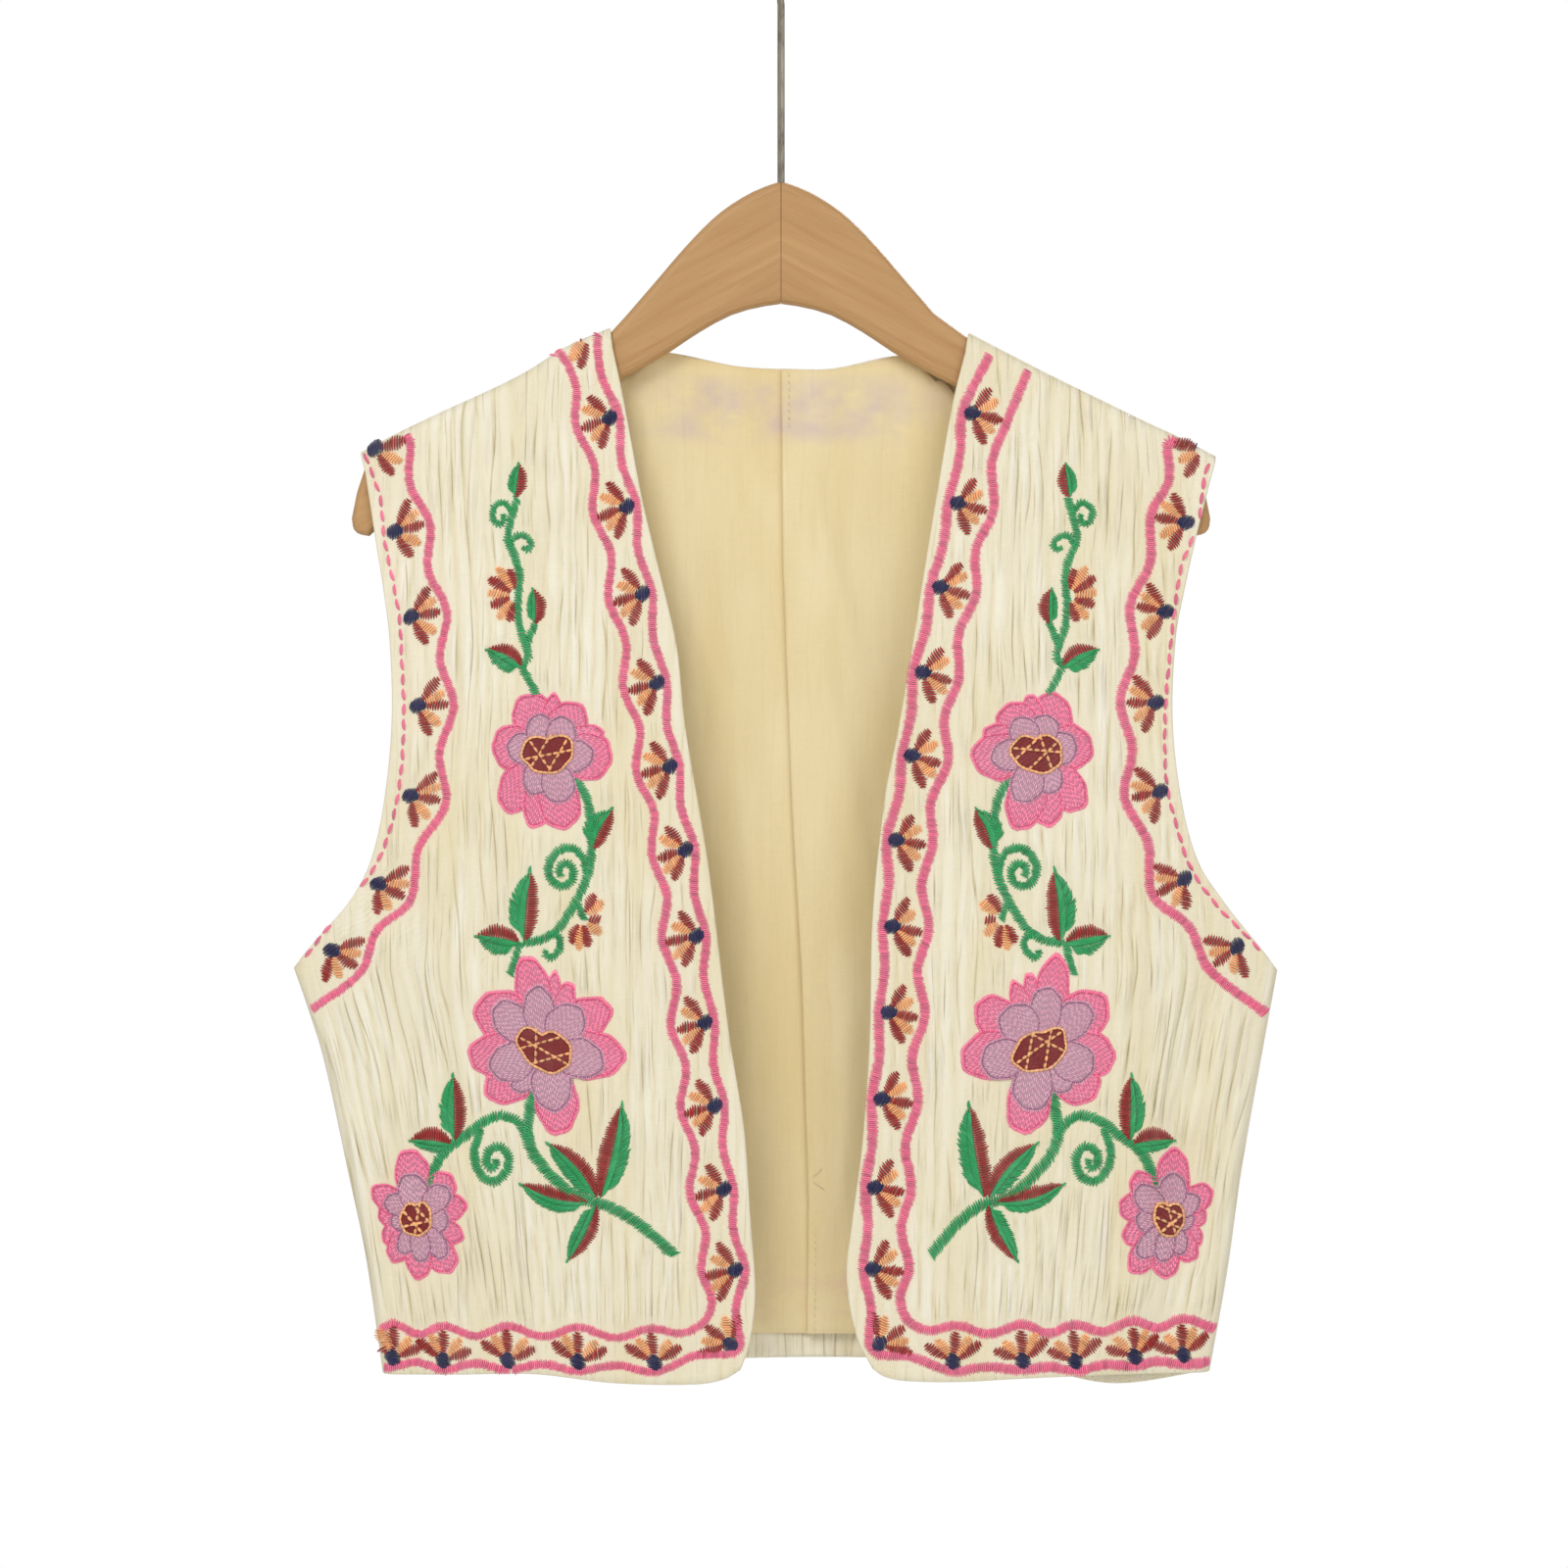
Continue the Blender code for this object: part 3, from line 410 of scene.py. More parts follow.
def inset(x, z):
    """How far a point lies in from its side seam."""
    return np.clip(side_reach(x, z) - np.abs(x), 0.0, None)


def bulge(most, x, z):
    neck = np.where(x < 0, SHOULDER_LEFT[-1][1], SHOULDER_RIGHT[-1][1])
    shoulder = neck - SHOULDER_SLOPE * np.clip(np.abs(x) - NECK_HALF, 0.0, None)
    drop = np.clip(shoulder - SADDLE_DROP - z, 0.0, None)
    return most * (1.0 - np.exp(-((drop / BODY_DROP) ** 2))) * ease(inset(x, z) / BULGE_REACH)


def depth(saddle, most, table, x, z):
    """How far the wall's outer face lies from the side seams' plane."""
    from_side = inset(x, z)
    edge = SIDE_FOLD_RADIUS * round_in(from_side / SIDE_FOLD_RADIUS)
    edge = edge + (saddle - SIDE_FOLD_RADIUS) * round_in(from_side / SIDE_FOLD_REACH)
    raised = folds(table, x, z) * ease(from_side / SIDE_FOLD_REACH)
    return edge + bulge(most, x, z) + raised


def saddle_point(foot, top, near_depth, far_depth, turn):
    """A point of the cloth over the hanger's edge; turn is 90 at the foot, 0 on top."""
    angle = np.radians(turn)
    power = 2.0 / SADDLE_SQUARENESS
    reach = np.where(angle < 0, far_depth, near_depth)
    out = reach * np.abs(np.sin(angle)) ** power
    flat = foot + (top - foot) * (np.abs(np.cos(angle)) ** power)[..., None]
    return np.stack([flat[..., 0], out, flat[..., 1]], axis=-1)


def normals(place, u, v, outward):
    """Unit normals of a surface that is given for shares across and up."""
    across = place(u + NORMAL_STEP, v) - place(u - NORMAL_STEP, v)
    up = place(u, v + NORMAL_STEP) - place(u, v - NORMAL_STEP)
    n = np.cross(across, up)
    n /= np.maximum(np.linalg.norm(n, axis=-1, keepdims=True), 1e-30)
    middle = n[n.shape[0] // 3, n.shape[1] // 2]
    return n * np.sign(np.dot(middle, outward))


def front_surface(side, armhole, shoulder, edge, hem, table):
    """One front: across from the side to the front edge, up from the hem to the top."""
    outer_edge = joined([(smooth(side), TIP_SHARE), (smooth(armhole), 1.0)])
    foot = smooth([armhole[-1], *lowered(shoulder[1:-1], SADDLE_DROP), edge[-1]])
    top = smooth(shoulder)
    flat = patch(outer_edge, smooth(edge), smooth(hem), foot)

    def place(u, v):
        below = v < TIP_SHARE
        turned = np.where((u < 0) & below, -1.0, 1.0)
        u = np.clip(np.where(below, np.abs(u), u), 0.0, 1.0)
        point = flat(u, np.clip(v, 0.0, 1.0))
        x, z = point[..., 0], point[..., 1]
        y = -turned * depth(FRONT_SADDLE, FRONT_BULGE, table, x, z)
        over = saddle_point(point, top(u), -FRONT_SADDLE, BACK_SADDLE, 90.0 * (2.0 - v))
        return np.where((v > 1.0)[..., None], over, np.stack([x, y, z], axis=-1))

    return place


def back_surface():
    """The back: across from the left side seam to the right one."""
    left = joined([(smooth(SIDE_LEFT), TIP_SHARE), (smooth(ARMHOLE_LEFT), 1.0)])
    right = joined([(smooth(SIDE_RIGHT), TIP_SHARE), (smooth(ARMHOLE_RIGHT), 1.0)])
    foot_left = [ARMHOLE_LEFT[-1], *lowered(SHOULDER_LEFT[1:-1], SADDLE_DROP), NECKLINE[0]]
    foot_right = [NECKLINE[-1], *lowered(SHOULDER_RIGHT[-2:0:-1], SADDLE_DROP), ARMHOLE_RIGHT[-1]]
    near, far = BACK_SHOULDER_SHARE, 1.0 - BACK_SHOULDER_SHARE
    high = joined([(smooth(foot_left), near), (smooth(NECKLINE), far), (smooth(foot_right), 1.0)])
    shoulder_left, shoulder_right = smooth(SHOULDER_LEFT), smooth(SHOULDER_RIGHT)
    flat = patch(left, right, smooth(BACK_HEM), high)

    def place(u, v):
        below = v < TIP_SHARE
        turned = np.where(((u < 0) | (u > 1)) & below, -1.0, 1.0)
        u = np.where(below & (u < 0), -u, np.where(below & (u > 1), 2.0 - u, u))
        u = np.clip(u, 0.0, 1.0)
        point = flat(u, np.clip(v, 0.0, 1.0))
        x, z = point[..., 0], point[..., 1]
        y = turned * depth(BACK_SADDLE, BACK_BULGE, BACK_FOLDS, x, z)
        on_left = shoulder_left(u / BACK_SHOULDER_SHARE)
        on_right = shoulder_right((1.0 - u) / BACK_SHOULDER_SHARE)
        top = np.where((u < 0.5)[..., None], on_left, on_right)
        over = saddle_point(point, top, BACK_SADDLE, -FRONT_SADDLE, 90.0 * (2.0 - v))
        return np.where((v > 1.0)[..., None], over, np.stack([x, y, z], axis=-1))

    return place


PANELS = {
    "left": front_surface(
        SIDE_LEFT, ARMHOLE_LEFT, SHOULDER_LEFT, FRONT_EDGE_LEFT, HEM_LEFT, FRONT_FOLDS_LEFT
    ),
    "right": front_surface(
        SIDE_RIGHT, ARMHOLE_RIGHT, SHOULDER_RIGHT, FRONT_EDGE_RIGHT, HEM_RIGHT, FRONT_FOLDS_RIGHT
    ),
    "back": back_surface(),
}
# Each panel's way out along y, saddle depth, bulge and folds
FACES = {
    "left": (-1.0, FRONT_SADDLE, FRONT_BULGE, FRONT_FOLDS_LEFT),
    "right": (-1.0, FRONT_SADDLE, FRONT_BULGE, FRONT_FOLDS_RIGHT),
    "back": (1.0, BACK_SADDLE, BACK_BULGE, BACK_FOLDS),
}


def shoulder_top(x):
    """z of the shoulders' top line at each x."""
    left = smooth(SHOULDER_LEFT)(np.linspace(0.0, 1.0, 200))
    right = smooth(SHOULDER_RIGHT)(np.linspace(1.0, 0.0, 200))
    line = np.concatenate([left, right])
    return np.interp(x, line[:, 0], line[:, 1])


def saddle_share(x, z):
    """0 on the body, and up to 1 on top of the shoulder."""
    on_shoulder = np.abs(x) > NECK_HALF - 1.0
    share = (z - shoulder_top(x) + SADDLE_DROP) / SADDLE_DROP
    return np.where(on_shoulder, np.clip(share, 0.0, 0.985), 0.0)


def plain_y(face, x, z):
    """y of a panel's outer face before it is crinkled."""
    out, saddle, most, table = FACES[face]
    share = saddle_share(x, z)
    power = SADDLE_SQUARENESS
    body = depth(saddle, most, table, x, z)
    top = saddle * (1.0 - share**power) ** (1.0 / power)
    return out * (np.where(share > 0.0, top, body) + SEAM_GAP / 2)


print("the left front is", round(float(plain_y("left", -100.0, -450.0)), 1), "mm deep at its middle")

# %% [markdown]
# Embroidery is thousands of short stitches. First the design is drawn flat, as if
# on the cloth before it is hung: every stitch is a start and an end in x and z, on
# one panel and in one thread. A small basket collects them, and later cells press
# the cloth down under them and lay them on its surface.
# The jitter of the stitch ends comes from one generator with a fixed seed.
# %% A basket for the stitches
SEWN_SHARE = 0.55  # of a stitch's half length, which has to lie on the panel
PETAL_JAG, PETAL_LEAN = 0.75, 0.3
rng = np.random.default_rng(7)
basket = {}


def outline(*lines):
    return np.vstack([smooth(line)(np.linspace(0.0, 1.0, 40)) for line in lines])


CUTS = {
    "left": outline(
        SIDE_LEFT, ARMHOLE_LEFT, SHOULDER_LEFT, FRONT_EDGE_LEFT[::-1], HEM_LEFT[::-1]
    ),
    "right": outline(
        SIDE_RIGHT, ARMHOLE_RIGHT, SHOULDER_RIGHT, FRONT_EDGE_RIGHT[::-1], HEM_RIGHT[::-1]
    ),
    "back": outline(
        SIDE_LEFT, ARMHOLE_LEFT, SHOULDER_LEFT, NECKLINE, SHOULDER_RIGHT[::-1],
        ARMHOLE_RIGHT[::-1], SIDE_RIGHT[::-1], BACK_HEM[::-1],
    ),
}


def inside(face, points):
    """Whether points lie on a panel, by counting the edges to their right."""
    if face not in CUTS:
        return np.ones(len(points), bool)
    found = np.zeros(len(points), bool)
    x, z = points[:, 0], points[:, 1]
    cut = CUTS[face]
    for (x0, z0), (x1, z1) in zip(cut, np.roll(cut, -1, axis=0)):
        if z0 != z1:
            crossing = x0 + (x1 - x0) * (z - z0) / (z1 - z0)
            found ^= ((z0 > z) != (z1 > z)) & (x < crossing)
    return found


def sew(face, thread, starts, ends, lift=0.0):
    """Keeps stitches from starts to ends, in mm, raised by lift over the cloth."""
    starts, ends = np.atleast_2d(starts), np.atleast_2d(ends)
    rows = np.column_stack([starts, ends, np.broadcast_to(lift, len(starts))])
    middle = (starts + ends) / 2
    near_ends = (middle + (end - middle) * SEWN_SHARE for end in (starts, ends))
    rows = rows[np.all([inside(face, points) for points in near_ends], axis=0)]
    basket.setdefault((face, thread), []).append(rows)


def walk(points, pitch, curved=True):
    """Points about a pitch apart along a line, and its direction at each."""
    points = np.asarray(points, float)
    fine = smooth(points)(np.linspace(0.0, 1.0, 40 * len(points))) if curved else points
    run = np.concatenate([[0.0], np.cumsum(np.linalg.norm(np.diff(fine, axis=0), axis=1))])
    count = max(2, int(round(run[-1] / pitch)) + 1)
    at = np.linspace(0.0, run[-1], count)
    x, z = np.interp(at, run, fine[:, 0]), np.interp(at, run, fine[:, 1])
    way = np.gradient(np.column_stack([x, z]), axis=0)
    way /= np.linalg.norm(way, axis=1, keepdims=True)
    return np.column_stack([x, z]), way


def sideways(way):
    """Square to a direction, to its left."""
    return np.column_stack([-way[:, 1], way[:, 0]])


def satin(face, thread, points, width, pitch, slant=0.15, jagged=0.7, lift=0.0, ends=1.0):
    """A line of stitches laid side by side across it; ends tapers both its ends."""
    at, way = walk(points, pitch)
    share = np.linspace(0.0, 1.0, len(at))
    taper = ends + (1.0 - ends) * np.sin(np.pi * share) ** 0.5
    half = 0.5 * width * taper[:, None]
    out = sideways(way)
    first = at + out * (half + jagged * rng.random((len(at), 1))) + way * slant * half
    last = at - out * (half + jagged * rng.random((len(at), 1))) - way * slant * half
    sew(face, thread, first, last, lift)


def petal(face, thread, root, tip, width, pitch, lift=0.0, widest=1.2, fullness=0.45):
    """A rounded lens of stitches laid across its length."""
    root, tip = np.array(root, float), np.array(tip, float)
    length = np.linalg.norm(tip - root)
    count = max(4, int(length / pitch))
    share = (np.arange(count) + 0.5) / count
    way = np.repeat([(tip - root) / length], count, axis=0)
    half = 0.5 * width * np.sin(np.pi * share**widest)[:, None] ** fullness
    at = root + (tip - root) * share[:, None]
    out = sideways(way)
    jag = PETAL_JAG * rng.random((2, count, 1))
    lean = way * PETAL_LEAN * half
    sew(face, thread, at + out * (half + jag[0]) + lean, at - out * (half + jag[1]) - lean, lift)


print("the basket is ready")

# %% [markdown]
# The border is two wavy satin lines with a row of small fans between them. A chain
# of fan feet runs down each front edge, round the corner and along the hem, another
# down each armhole. Each foot and each point halfway to the next one give a point
# of the two lines, further in at a foot than between two feet, which makes the
# waves. The chains are tables of x and z in millimetres. On the fronts and at the
# armholes the feet were read off the photograph.
# %% Chains of fans
EDGE_LEFT = [
    (-89.8, -210.7), (-79.8, -248.5), (-71.6, -290), (-64.3, -330.6), (-57.5, -372.1),
    (-51.5, -410.9), (-44.2, -449.6), (-39.2, -489.7), (-35.1, -529.9), (-30.6, -568.6),
    (-26.4, -607.4), (-21, -644.8), (-23.3, -679.4), (-58.8, -688.1), (-94.4, -687.6),
    (-127.2, -687.2), (-157.3, -687.6), (-181, -686.7),
]
EDGE_RIGHT = [
    (88.9, -246.2), (82.1, -288.2), (73.9, -327.4), (65.7, -367.1), (60.6, -405.8), (53.4, -445.1),
    (51.5, -485.2), (49.7, -525.3), (46.5, -565.4), (43.3, -606.5), (42.4, -644.3), (45.6, -679.4),
    (79.8, -687.6), (112.2, -687.2), (136.8, -687.6), (164.6, -685.8), (187.4, -685.4),
]
HOLE_LEFT = [
    (-189.2, -263.1), (-180.1, -301.4), (-172.4, -341.1), (-169.2, -382.6), (-172.4, -424.5),
    (-187.4, -465.6), (-209.3, -496.6),
]
HOLE_RIGHT = [
    (196.5, -263.1), (188.8, -297.3), (179.2, -338.8), (174.6, -381.2), (176.5, -422.7),
    (187.9, -463.3), (212.5, -494.8),
]
NECK_BACK = [(-70, -229), (-38, -231.5), (-5, -236), (28, -236), (60, -231)]
HEM_BACK = [
    (-166, -676), (-132, -675), (-98, -674), (-64, -673), (-30, -672), (4, -671.5), (38, -672),
    (72, -673.5), (106, -675.5), (140, -680), (174, -682),
]
# Each border: panel, chain, side on which its fans point (1 is left of the way the
# chain runs), distance of the outer line at and between feet, of the inner line,
# turn of the fans in degrees, and the first and last points of both lines
ARMHOLES = {
    "left": (HOLE_LEFT, 1, None, (16.9, 11.9), 0.0, None, ((-174.6, -256.7), (-218.4, -523.9))),
    "right": (HOLE_RIGHT, -1, None, (16.9, 12.2), 0.0, None, ((184.2, -260.4), (225.7, -525.8))),
}
BORDERS = {
    "front_left": (
        "left", EDGE_LEFT, -1, (4.3, 1.3), (16.2, 11.4), 8.0,
        ((-82.5, -207.5), (-184.7, -691.3)), ((-106.2, -219.3), (-186.5, -673.1)),
    ),
    "front_right": (
        "right", EDGE_RIGHT, 1, (4.3, 2.5), (17.2, 12.8), -8.0,
        ((97.1, -219.3), (199.3, -688.6)), ((114.9, -226.6), (202.0, -673.1)),
    ),
    "armhole_left": ("left", *ARMHOLES["left"]),
    "armhole_right": ("right", *ARMHOLES["right"]),
    "back_left": ("back", *ARMHOLES["left"]),
    "back_right": ("back", *ARMHOLES["right"]),
    "neck": (
        "back", NECK_BACK, -1, (3.6, 3.0), (16.0, 12.0), 0.0,
        ((-84.0, -211.0), (92.0, -214.0)), ((-105.0, -219.5), (115.0, -225.0)),
    ),
    "back_hem": (
        "back", HEM_BACK, 1, (3.6, 2.6), (16.0, 12.0), 0.0,
        ((-184.0, -682.0), (198.0, -684.0)), ((-187.0, -664.0), (201.0, -668.0)),
    ),
}
SATIN_PITCH, SATIN_WIDTH = 0.95, {"left": 4.2, "right": 4.9, "back": 4.4}
FAN_ANGLES = (-68.0, -41.0, 0.0, 27.0, 51.0)
FAN_REACH = (14.8, 13.4, 14.6, 14.4, 16.0)
PETAL_START, PETAL_WIDTH, PETAL_PITCH = 3.2, 5.8, 1.14
KNOT_RADIUS = 3.5


def turned(way, degrees):
    c, s = math.cos(math.radians(degrees)), math.sin(math.radians(degrees))
    return np.array([way[0] * c - way[1] * s, way[0] * s + way[1] * c])


def fan(face, foot, way):
    """Five petals round a dark knot; way is where the middle one points."""
    mirror = -1.0 if face == "right" else 1.0
    for k, (angle, reach) in enumerate(zip(FAN_ANGLES, FAN_REACH)):
        out = turned(way, mirror * angle + rng.uniform(-3.0, 3.0))
        reach = reach * rng.uniform(0.94, 1.04)
        thread = "peach" if k % 2 else "maroon"
        petal(face, thread, foot + out * PETAL_START, foot + out * reach, PETAL_WIDTH, PETAL_PITCH)
    ends = foot - way * KNOT_RADIUS, foot + way * (KNOT_RADIUS + 0.5)
    petal(face, "navy", *ends, 2 * KNOT_RADIUS, 0.7, 0.3, widest=1.0, fullness=0.36)


def inward(chain, side):
    """The direction in which each fan of a chain points before it is turned."""
    way = np.gradient(np.array(chain), axis=0)
    way /= np.linalg.norm(way, axis=1, keepdims=True)
    return side * sideways(way)


def halfway(chain):
    chain = np.array(chain)
    return (chain[1:] + chain[:-1]) / 2


def woven(at_feet, between, ends):
    """Points at the feet and between them in turn, after the first end point."""
    line = np.empty((len(at_feet) + len(between), 2))
    line[0::2], line[1::2] = at_feet, between
    return np.vstack([ends[0], line, ends[1]])


def border(face, chain, side, outer, inner, turn, outer_ends, inner_ends):
    ways = inward(chain, side)
    middles = halfway(chain)
    middle_ways = (ways[1:] + ways[:-1]) / 2
    for foot, way in zip(np.array(chain), ways):
        fan(face, foot, turned(way, turn * abs(way[0])))
    line = woven(np.array(chain) + ways * inner[0], middles + middle_ways * inner[1], inner_ends)
    satin(face, "pink", line, SATIN_WIDTH[face], SATIN_PITCH)
    if outer:
        line = woven(np.array(chain) - ways * outer[0], middles - middle_ways * outer[1], outer_ends)
        satin(face, "pink", line, SATIN_WIDTH[face], SATIN_PITCH)


for plan in BORDERS.values():
    border(*plan)
print("border stitches:", sum(len(r) for rows in basket.values() for r in rows))

# %% [markdown]
# A single thick running stitch follows each armhole a few millimetres in from the
# edge, along points read off the photograph. Its dashes are long and its gaps
# are short. Each dash is one stitch in a thick thread, set slightly askew in turn.
# %% Running stitch round the armholes
RUNNING_LEFT = [
    (-194.3, -264.9), (-190.2, -275), (-186.5, -286.4), (-185.1, -302.8), (-181, -323.3),
    (-177.8, -341.1), (-176.5, -362.1), (-175.6, -382.6), (-176, -403.1), (-178.3, -424.5),
    (-182.4, -441.9), (-188.8, -457.4), (-202.9, -476.1), (-213.9, -489.7), (-224.4, -503.4),
]
RUNNING_RIGHT = [
    (202, -263.1), (197, -277.7), (194.7, -297.3), (187, -316.5), (183.3, -338.8), (180.6, -364.3),
    (179.2, -381.2), (178.8, -400.8), (179.7, -419.1), (183.8, -437.3), (190.6, -457.8),
    (203.4, -476.1), (215.7, -488.4), (227.5, -501.1),
]
DASH, GAP, WALK_STEP = 5.4, 1.5, 0.25


def running(face, points):
    at, way = walk(points, WALK_STEP)
    step = int(round((DASH + GAP) / WALK_STEP))
    starts = np.arange(0, len(at) - step, step)
    ends = starts + int(round(DASH / WALK_STEP))
    sway = sideways(way)[starts] * np.where(np.arange(len(starts)) % 2, 0.25, -0.25)[:, None]
    sew(face, "dash", at[starts] + sway, at[ends] - sway, 0.1)


for side, points in (("left", RUNNING_LEFT), ("right", RUNNING_RIGHT)):
    running(side, points)
    running("back", points)
print("dashes:", sum(len(r) for key, rows in basket.items() if key[1] == "dash" for r in rows))

# %% [markdown]
# A spray climbs each front: three flowers, curling stems, two-tone leaves and two
# small fans. The right spray mirrors the left one. Stems and curls are satin lines
# whose points follow the photograph's own lines, read off it. A leaf has a
# dark half with stitches laid across it and a green half with longer ones that slant
# to its tip, and its edges are worked out from its foot, tip, widths and bend.
# %% Stems and leaves
MIRROR, SPRAY_INNER, SPRAY_SHARE = 10.5, -84.4, 0.72
STEM_SHARE, STEM_PITCH, CURL_PITCH, STEM_JAG = 1.32, 1.18, 1.1, 0.85
LEAF_GREEN_SHARE, LEAF_DARK_SHARE = 1.06, 1.1
SPRAYS = {"left": lambda p: np.asarray(p, float), "right": lambda p: mirrored(p)}
STEMS = [
    (
        2.7, [
            (-123.1, -286.4), (-124.9, -292.3), (-126.8, -300.5), (-127.2, -306.4),
            (-123.6, -314.2), (-121.8, -322.4), (-122.7, -336.5), (-121.8, -345.6),
            (-118.6, -355.2), (-117.6, -359.8), (-120.4, -364.3), (-117.6, -370.3), (-114, -377.1),
        ],
    ),
    (2.4, [(-114.5, -344.7), (-116.7, -349.8), (-118.6, -355.2)]),
    (
        3.1, [
            (-96.2, -416.8), (-91.2, -423.6), (-88.9, -433.7), (-88, -441.4), (-88.5, -453.3),
            (-91.2, -465.1), (-95.3, -473.3), (-100.3, -482), (-105.3, -487.9), (-111.3, -491.6),
            (-119.9, -492.9),
        ],
    ),
    (2.6, [(-94.4, -475.2), (-92.6, -479.3), (-91.7, -482)]),
    (2.5, [(-121.8, -492.9), (-123.1, -498.9), (-125.9, -507.5)]),
    (
        4, [
            (-115.4, -561.3), (-116.7, -570.5), (-118.1, -581.9), (-114.9, -591.4), (-109, -598.7),
            (-101.7, -606), (-94.4, -611), (-83.4, -614.2), (-71.1, -620.2), (-58.8, -629.3),
            (-49.7, -637.9),
        ],
    ),
    (
        3.5, [
            (-117.2, -583.2), (-123.6, -575), (-130.9, -573.2), (-139.5, -576.8), (-146.8, -582.8),
            (-154.1, -587.8), (-159.1, -593.7), (-162.8, -602.4), (-165.5, -612.4),
        ],
    ),
]
# Curls: stem width, the points from the stem inwards
CURLS = [
    (
        2.2, [
            (-125.9, -291.8), (-129.5, -287.7), (-133.6, -290), (-134.5, -294.6), (-131.8, -298.2),
            (-129, -296.4), (-129.5, -293.7),
        ],
    ),
    (
        2.2, [
            (-126.8, -308.3), (-123.6, -303.7), (-119, -303.7), (-116.3, -306.9), (-117.6, -310.1),
            (-120.4, -309.2),
        ],
    ),
    (
        2.9, [
            (-90.7, -460.1), (-92.6, -452.4), (-98, -448.7), (-104, -450.5), (-108.1, -456.5),
            (-107.2, -463.3), (-102.1, -466.9), (-97.1, -464.2), (-96.7, -458.3), (-100.3, -455.5),
            (-103.5, -458.3), (-102.6, -461.9),
        ],
    ),
    (
        2.4, [
            (-108.5, -488.8), (-103.5, -489.7), (-102.6, -494.8), (-106.2, -499.8),
            (-109.4, -498.9), (-109, -496.6),
        ],
    ),
    (
        3.1, [
            (-139.5, -579.6), (-142.7, -589.2), (-140.9, -598.7), (-134.5, -604.2),
            (-127.7, -599.6), (-126.8, -591.4), (-131.8, -587.3), (-136.8, -591.4),
            (-136.3, -596.9), (-132.7, -597.4), (-132.7, -593.7),
        ],
    ),
]
# Leaves: foot, tip, width of the green half, of the dark half, side of the dark half
# (1 is left of the way from foot to tip), bend towards that side
LEAVES = [
    ((-123.6, -285.5), (-122.2, -270.4), 4.2, 3.8, -1, 0.2),
    ((-114.5, -344.7), (-115.4, -328.8), 3.8, 4.2, -1, 0.8),
    ((-120.4, -364.3), (-136.3, -356.6), 6.6, 4.3, -1, 1.6),
    ((-87.6, -449.2), (-78.9, -431.4), 7, 4, -1, -0.6),
    ((-119, -492), (-116.7, -460.6), 7.4, 4.8, -1, -0.4),
    ((-121.8, -492.5), (-140.9, -489.7), 7.4, 5, -1, 0.8),
    ((-151.4, -584.6), (-152.3, -555.9), 6.2, 4.6, -1, 0),
    ((-153.2, -586.4), (-171.9, -585), 5, 5.2, -1, 0.8),
    ((-85.7, -611), (-107.2, -586.9), 6.2, 4.4, -1, 2.4),
    ((-83.9, -611), (-74.3, -569.5), 7.2, 5, 1, -0.6),
    ((-89.8, -613.3), (-119.9, -605.6), 5.2, 4.6, -1, -2.4),
    ((-85.7, -614.7), (-98.5, -639.8), 5.4, 3.8, 1, 1.6),
]
# Small fans: foot, angle of each petal in degrees and its reach
SMALL_FANS = [
    ((-123.1, -331.5), (104, 124, 147, 173, 200, 230, 251), (13, 16.4, 15.4, 13.6, 13, 14, 12.6)),
    ((-92.6, -481.5), (60, 37, -7, -41, -78, -97, -115), (12.8, 12.8, 8.8, 11.6, 13.7, 15, 12.8)),
]
SMALL_PETAL_START, SMALL_PETAL_WIDTH = 3.4, 6.0


def mirrored(points):
    """The same points on the right front, where the spray reaches a little less far in."""
    points = np.array(points, float)
    beyond = np.clip(points[..., 0] - SPRAY_INNER, 0.0, None)
    points[..., 0] = MIRROR - points[..., 0] + (1.0 - SPRAY_SHARE) * beyond
    return points


RIB_OVERLAP = 0.9  # mm that a leaf's dark half reaches over its green half
DARK_PITCH, GREEN_PITCH = 1.1, 1.0


def leaf(face, foot, tip, green, dark, side, bend):
    foot, tip = np.array(foot), np.array(tip)
    length = np.linalg.norm(tip - foot)
    way = (tip - foot) / length
    out = np.array([-way[1], way[0]]) * side

    def rib(t):
        return foot + (tip - foot) * t[:, None] + out * (bend * np.sin(np.pi * t))[:, None]

    def spread(t, width):
        t = np.clip(t, 0.0, 1.0)
        return out * (width * np.sin(np.pi * t**0.9)[:, None] ** 0.55)

    count = int(length / DARK_PITCH)
    t = (np.arange(count) + 0.5) / count
    jag = 1.0 + 0.2 * rng.random((len(t), 1))
    sew(face, "maroon", rib(t) - out * RIB_OVERLAP, rib(t) + spread(t, dark) * jag + way * 0.4, 0.2)
    count = int(length / GREEN_PITCH)
    t = (np.arange(count) + 0.3) / count
    slant = np.clip(green / length, 0.0, 0.25)
    jag = 1.0 + 0.18 * rng.random((len(t), 1))
    middle = rib(t + slant / 2) - spread(t + slant / 2, green * 0.5)
    sew(face, "green", rib(np.maximum(t - slant / 2, 0.0)), middle, 0.1)
    last = rib(np.minimum(t + slant, 1.0)) - spread(np.minimum(t + slant, 0.995), green) * jag
    sew(face, "green", middle + (middle - last) * 0.15, last, 0.1)


def flip(face, angle):
    return 180.0 - angle if face == "right" else angle


